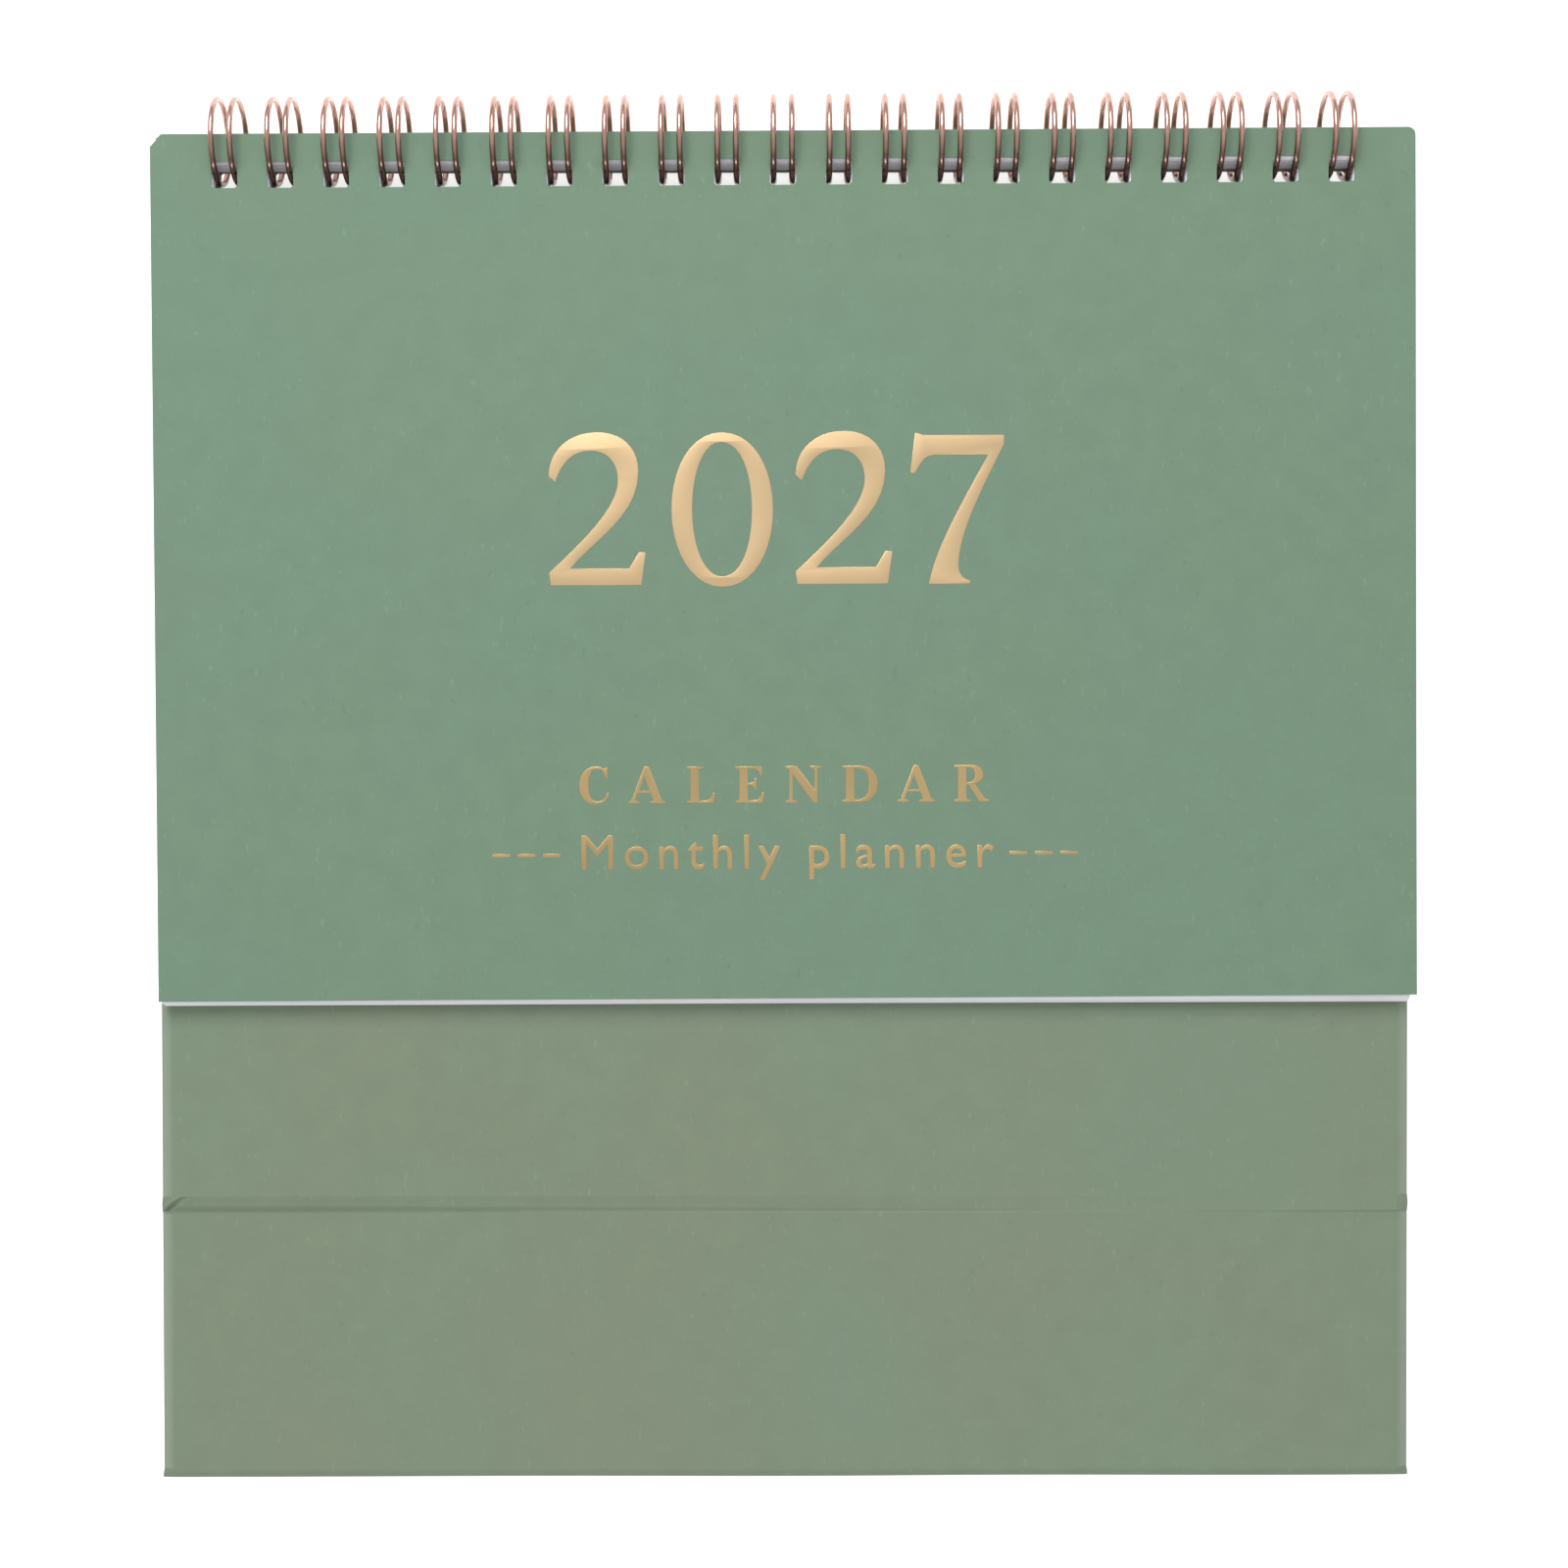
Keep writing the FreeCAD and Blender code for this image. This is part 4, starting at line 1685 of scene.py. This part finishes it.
@dataclass
class CoverStamp:
    """The foil lettering stamped into the cover, in millimetres from the rings' axis.

    Args:
        leaf: the cover.
        foil: the year's material.
        small_foil: the material of the small letters.
        edge: how far the foil's edges are rounded.
        deep: how deep it is stamped.
        squeeze: how flat it is pressed.
        rise: how far its middle stands over the cover.
        year_at: where the year starts, and its baseline.
        year_tall: how tall the year is.
        year_starts: where its numerals start, in units of their height.
        title_at: where the title starts, and its baseline.
        title_tall: how tall the title is.
        title_wide: how wide its letters are, in units of their height.
        title_gap: the gap between two of them, in the same units.
        line_at: where the line under the title starts, and its baseline.
        line_size: its font's size.
        line_spacing: the share of the font's own spacing.
        line_bolder: how much bolder its strokes are on each side.
        dash: how wide and how tall a dash is.
        dash_step: from one dash to the next.
        dash_rows: where each row of three dashes starts.
        dash_y: the dashes' foot.
    """

    leaf: Leaf
    foil: bpy.types.Material
    small_foil: bpy.types.Material
    edge: float = 0.07
    deep: float = 0.012
    squeeze: float = 0.35
    rise: float = 0.005
    year_at: tuple[float, float] = (-35.9, -68.2)
    year_tall: float = 23.2
    year_starts: tuple[float, ...] = (0, 0.804, 1.616, 2.368)
    title_at: tuple[float, float] = (-31.8, -101.4)
    title_tall: float = 5.56
    title_wide: tuple[float, ...] = (0.89, 1.087, 0.85, 0.89, 1.054, 1.065, 1.03, 0.98)
    title_gap: float = 0.487
    line_at: tuple[float, float] = (-31.8, -111.4)
    line_size: float = 7.5
    line_spacing: float = 1.26
    line_bolder: float = 0.05
    dash: tuple[float, float] = (2.75, 0.5)
    dash_step: float = 3.85
    dash_rows: tuple[float, float] = (-44.9, 33.9)
    dash_y: float = -109.5

    def _stamp(self, name: str, curve: bpy.types.Curve, at: tuple[float, float],
               foil: bpy.types.Material, bolder: float = 0.0) -> None:
        """Turns a curve into rounded foil on the cover.

        Args:
            name: the piece's name.
            curve: the flat letters.
            at: where they start, and their baseline.
            foil: their finish.
            bolder: how far the strokes grow on each side.
        """
        curve.extrude = self.deep
        curve.bevel_depth = self.edge
        curve.bevel_resolution = 1
        curve.offset = bolder - self.edge
        mesh = plain_mesh(curve)
        face = self.leaf.thickness / 2 + self.rise
        points = [self.leaf.at(v.co.x + at[0], v.co.y + at[1], v.co.z * self.squeeze + face)
                  for v in mesh.vertices]
        faces = [tuple(p.vertices) for p in mesh.polygons]
        piece = new_piece(name, np.array(points), faces, [foil], sharp=80)
        work = bmesh.new()
        work.from_mesh(piece.data)
        bmesh.ops.recalc_face_normals(work, faces=work.faces)
        work.to_mesh(piece.data)
        work.free()
        finish_piece(piece, self.leaf.node, "cover_card")

    def build(self) -> None:
        """Stamps the year, the title, the line under it and its dashes."""
        self._stamp("cover_year_foil", roman("2027", self.year_tall, self.year_starts),
                    self.year_at, self.foil)
        starts, at = [], 0.0
        for wide in self.title_wide:
            starts.append(at)
            at += wide + self.title_gap
        self._stamp("cover_title_foil", roman("CALENDAR", self.title_tall, starts),
                    self.title_at, self.small_foil)
        line = plain_text("Monthly planner", self.line_size, self.line_spacing)
        self._stamp("cover_line_foil", line, self.line_at, self.small_foil, self.line_bolder)
        wide, tall = self.dash
        runs = [[(x, 0), (x + wide, 0), (x + wide, tall), (x, tall)]
                for x in (row + k * self.dash_step for row in self.dash_rows for k in range(3))]
        self._stamp("cover_dash_foil", flat_curve("dashes", runs), (0.0, self.dash_y),
                    self.small_foil)


@dataclass
class MonthPrint:
    """The printed days of one month, in millimetres.

    Args:
        leaf: the sheet that it is printed on.
        month: the month's number.
        ink: the ink's material.
        tree: the node tree that writes the days.
        year: the year.
        cell_wide: a day's width in the table.
        cell_tall: a day's height in the table.
        weeks: rows of the table.
        grid_top: the table's top, from the axis of the rings.
        digit: the size of the days' numbers.
        inset: from a cell's left side to its number.
        head: from the table's top to the heading's baseline.
        number_size: the size of the month's number.
        number_in: from the table's left side to it.
        name_size: the size of the month's name and of the year.
        name_in: from the table's left side to the name.
        year_in: from the table's right side to the year's start.
        letter_size: the size of the weekdays' letters.
        letters_up: from the table's top to their baseline.
        film: how thick the ink lies.
    """

    leaf: Leaf
    month: int
    ink: bpy.types.Material
    tree: bpy.types.NodeTree
    year: int = 2027
    cell_wide: float = 25.0
    cell_tall: float = 14.2
    weeks: int = 6
    grid_top: float = -44.0
    digit: float = 6.2
    inset: float = 2.0
    head: float = 13.0
    number_size: float = 17.0
    number_in: float = 1.0
    name_size: float = 8.0
    name_in: float = 27.0
    year_in: float = 21.0
    letter_size: float = 4.6
    letters_up: float = 2.2
    film: float = 0.012

    @classmethod
    def left(cls) -> float:
        """The left side of the table of days."""
        return -len(WEEKDAYS) / 2 * cls.cell_wide

    @classmethod
    def day_tree(cls) -> bpy.types.NodeTree:
        """Writes the numbers of a month's days into the cells of a seven-column table.

        Returns:
            The tree.
        """
        grow = Growth("month_days", "Days", Seed="Geometry", Days="Int", First_Column="Int",
                      Cell_Wide="Float", Cell_Tall="Float", Digit="Float", Ink="Material")
        given = grow.given
        begin = grow.add("GeometryNodeRepeatInput")
        close = grow.add("GeometryNodeRepeatOutput")
        begin.pair_with_output(close)
        grow.join(given["Days"], begin.inputs["Iterations"])
        day = begin.outputs["Iteration"]
        text = grow.add("FunctionNodeValueToString", Value=grow.math("ADD", day, 1.0))
        letters = grow.add("GeometryNodeStringToCurves", String=text.outputs["String"],
                           Size=given["Digit"])
        fill = grow.add("GeometryNodeFillCurve", Curve=letters.outputs["Curve Instances"])
        cell = grow.math("ADD", day, given["First Column"])
        column = grow.math("MODULO", cell, float(len(WEEKDAYS)))
        row = grow.math("FLOOR", grow.math("DIVIDE", cell, float(len(WEEKDAYS))))
        down = grow.math("MULTIPLY", given["Cell Tall"], -1.0)
        place = grow.add("ShaderNodeCombineXYZ",
                         X=grow.math("MULTIPLY", column, given["Cell Wide"]),
                         Y=grow.math("MULTIPLY", row, down))
        move = grow.add("GeometryNodeTransform", Geometry=fill.outputs[0],
                        Translation=place.outputs[0])
        both = grow.add("GeometryNodeJoinGeometry", Geometry=begin.outputs["Geometry"])
        grow.join(move.outputs[0], both.inputs[0])
        grow.join(both.outputs[0], close.inputs["Geometry"])
        return grow.done(close.outputs["Geometry"], given["Ink"])

    def build(self) -> None:
        """Prints the month's number and name, the weekdays' letters and the days."""
        first, days = calendar.monthrange(self.year, self.month)
        table = grown("days", [(0, 0, 0)], [], self.tree, Days=days,
                      First_Column=(first + 1) % len(WEEKDAYS), Cell_Wide=self.cell_wide,
                      Cell_Tall=self.cell_tall, Digit=self.digit, Ink=self.ink)
        left, head = self.left(), self.grid_top + self.head
        shapes = [flat_shape(table, left + self.inset, self.grid_top - self.digit)]
        lines = [(f"{self.month:02d}", self.number_size, left + self.number_in, head),
                 (calendar.month_name[self.month], self.name_size, left + self.name_in, head),
                 (str(self.year), self.name_size, -left - self.year_in, head)]
        lines += [(letter, self.letter_size, left + self.inset + k * self.cell_wide,
                   self.grid_top + self.letters_up) for k, letter in enumerate(WEEKDAYS)]
        for text, size, x, y in lines:
            shapes.append(flat_shape(plain_mesh(plain_text(text, size)), x, y))
        self.leaf.lay(f"month_{self.month:02d}_print", shapes, self.film, self.ink,
                      "month_paper")


@dataclass
class SheetStack:
    """The cover, the twelve month sheets and the last sheet, in millimetres.

    Args:
        months: how many month sheets there are.
        sheet: a month sheet's thickness.
        card: the cover's thickness.
        gap: the air between two sheets at the wire.
        first_height: the last sheet's height over the axis of the rings.
        ruled_line: the spacing of the lines on the sheets' backs.
        beside: how far past the table its outer lines may reach.
        cover_paper: the cover's finish.
    """

    months: int = 12
    sheet: float = 0.16
    card: float = 0.30
    gap: float = 0.08
    first_height: float = 0.33
    ruled_line: float = 8.0
    beside: float = 0.1
    cover_paper: PrintedPaper = PrintedPaper("sage_cover_card", (0.158, 0.244, 0.170),
                                             (1.02, 1.0, 0.99), (0.98, 1.0, 1.02))

    def _pages(self) -> tuple[bpy.types.Material, bpy.types.Material]:
        """The finishes of the sheets' fronts and backs.

        Returns:
            The two materials.
        """
        table = MonthPrint
        foot = table.grid_top - table.weeks * table.cell_tall
        ends = PLACE.to_row(np.array([(table.left(), foot, 2.0),
                                      (table.left(), table.grid_top, 2.0)])).tolist()
        rows, side = (ends[0][1], ends[1][1]), (self.beside - table.left()) * MM
        ruled = PageFinish("page_front", (0.45, 0.5, 0.47), (table.cell_wide, table.cell_tall),
                           (ends[1][0], ends[1][1]), (-side, side), rows)
        plain = PageFinish("page_back", (0.62, 0.63, 0.68), (400.0, self.ruled_line),
                           (-0.2, 0.0), (-side, side), rows)
        return ruled.material(), plain.material()

    def build(self) -> None:
        """Makes every sheet from the last one up, with what is printed on it."""
        ruled, plain = self._pages()
        days = MonthPrint.day_tree()
        ink = Ink("month_ink", (0.05, 0.075, 0.06)).material()
        height, pitch = self.first_height, self.sheet + self.gap
        Leaf("last_sheet", 0, 0.05, height, self.sheet, [plain, plain]).build()
        for up in range(1, self.months + 1):
            month = self.months + 1 - up
            skew = 0.09 + 0.05 * math.sin(2.1 * up)
            leaf = Leaf(f"month_sheet_{month:02d}", up, skew, height + up * pitch, self.sheet,
                        [ruled, plain], drift=0.12 * math.sin(3.7 * up))
            leaf.build()
            MonthPrint(leaf, month, ink, days).build()
        top = height + self.months * pitch + (self.sheet + self.card) / 2 + self.gap
        cover = Leaf("cover_sheet", self.months + 1, 0.22, top, self.card,
                     [self.cover_paper.material(), plain], lift=0.25,
                     corners=((1.9, 1.15), (1.2, 2.0)))
        cover.build()
        small = Foil("gold_foil_fine", (0.50, 0.365, 0.175), 0.36)
        CoverStamp(cover, Foil().material(), small.material()).build()


# ---- the studio ----------------------------------------------------------------------


@dataclass
class Studio:
    """A white table, soft light from the upper left and a camera straight above.

    Args:
        table_reach: half of the table's side, in metres.
        camera_height: the camera's height over the table, in metres.
        camera_y: how far up the table the camera stands, in metres.
        lens: its focal length, in millimetres.
        sensor: how wide its sensor is, in millimetres.
        roll: how far it is turned about its view, in degrees.
        lamps: each light's name, its place, its width and height, all in metres, and its power
            in watts.
        sky: the strength of the sky overhead.
        low_sky: the share of it that the sky has near the table.
        tilt: how much brighter the sky is at the top of the table than at the foot.
    """

    table_reach: float = 3.0
    camera_height: float = 0.3918
    camera_y: float = 0.0008
    lens: float = 57.8
    sensor: float = 36.0
    roll: float = -0.12
    lamps: tuple[tuple[str, Point, tuple[float, float], float], ...] = (
        ("softbox", (-0.12, 0.50, 0.60), (0.42, 0.42), 4.4),
        ("strip_light", (-0.05, -0.60, 0.20), (0.7, 0.07), 1.1))
    sky: float = 0.76
    low_sky: float = 0.12
    tilt: float = 0.3

    def build(self) -> None:
        """Makes the table, the sky, the lights and the camera."""
        self._table()
        self._sky()
        for lamp in self.lamps:
            self._lamp(*lamp)
        self._camera()
        settings = bpy.context.scene.view_settings
        settings.view_transform = "Standard"
        settings.look = "None"

    def _table(self) -> None:
        """Lays the table."""
        mesh, reach = bpy.data.meshes.new("table"), self.table_reach
        mesh.from_pydata([(-reach, -reach, 0), (reach, -reach, 0), (reach, reach, 0),
                          (-reach, reach, 0)], [], [(0, 1, 2, 3)])
        mesh.materials.append(Backdrop().material())
        table = bpy.data.objects.new("table", mesh)
        bpy.context.scene.collection.objects.link(table)

    def _sky(self) -> None:
        """Lights the scene from above, most from the top, and shows plain white behind it."""
        world = bpy.data.worlds.new("soft_sky")
        bpy.context.scene.world = world
        world.use_nodes = True
        wires = Wiring(world.node_tree)
        where = wires.add("ShaderNodeTexCoord").outputs["Generated"]
        split = wires.add("ShaderNodeSeparateXYZ", Vector=where).outputs
        height = wires.math("MULTIPLY_ADD", split["Y"], self.tilt, split["Z"])
        rise = wires.span(height, -0.1, 0.6, self.low_sky * self.sky, self.sky)
        seen = wires.add("ShaderNodeLightPath").outputs["Is Camera Ray"]
        background = world.node_tree.nodes["Background"].inputs
        wires.join(wires.math("MAXIMUM", rise, seen), background["Strength"])
        wires.join((1.0, 1.0, 1.0), background["Color"])

    def _camera(self) -> None:
        """Hangs the camera over the table."""
        data = bpy.data.cameras.new("camera")
        data.lens = self.lens
        data.sensor_width = self.sensor
        camera = bpy.data.objects.new("camera", data)
        camera.location = (0.0, self.camera_y, self.camera_height)
        camera.rotation_euler = (0.0, 0.0, math.radians(self.roll))
        bpy.context.scene.collection.objects.link(camera)
        bpy.context.scene.camera = camera

    def _lamp(self, name: str, at: Point, size: tuple[float, float], power: float) -> None:
        """Puts up a rectangular light that points at the middle of the table.

        Args:
            name: the light's name.
            at: where it stands.
            size: how wide and how tall it is, in metres.
            power: its power in watts.
        """
        data = bpy.data.lights.new(name, "AREA")
        data.shape = "RECTANGLE"
        data.size, data.size_y = size
        data.energy = power
        lamp = bpy.data.objects.new(name, data)
        lamp.location = at
        lamp.rotation_euler = (-Vector(at)).to_track_quat("-Z", "Y").to_euler()
        bpy.context.scene.collection.objects.link(lamp)


def main() -> None:
    """Builds the calendar and the studio round it."""
    logging.basicConfig(level=logging.INFO, format="%(name)s: %(message)s")
    for name in ("Cube", "Light", "Camera"):
        if name in bpy.data.objects and name not in frame["nodes"]:
            bpy.data.objects.remove(bpy.data.objects[name])
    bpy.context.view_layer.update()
    Studio().build()
    StandCase().build()
    TwinLoopWire().build()
    SheetStack().build()


if __name__ == "__main__":
    main()
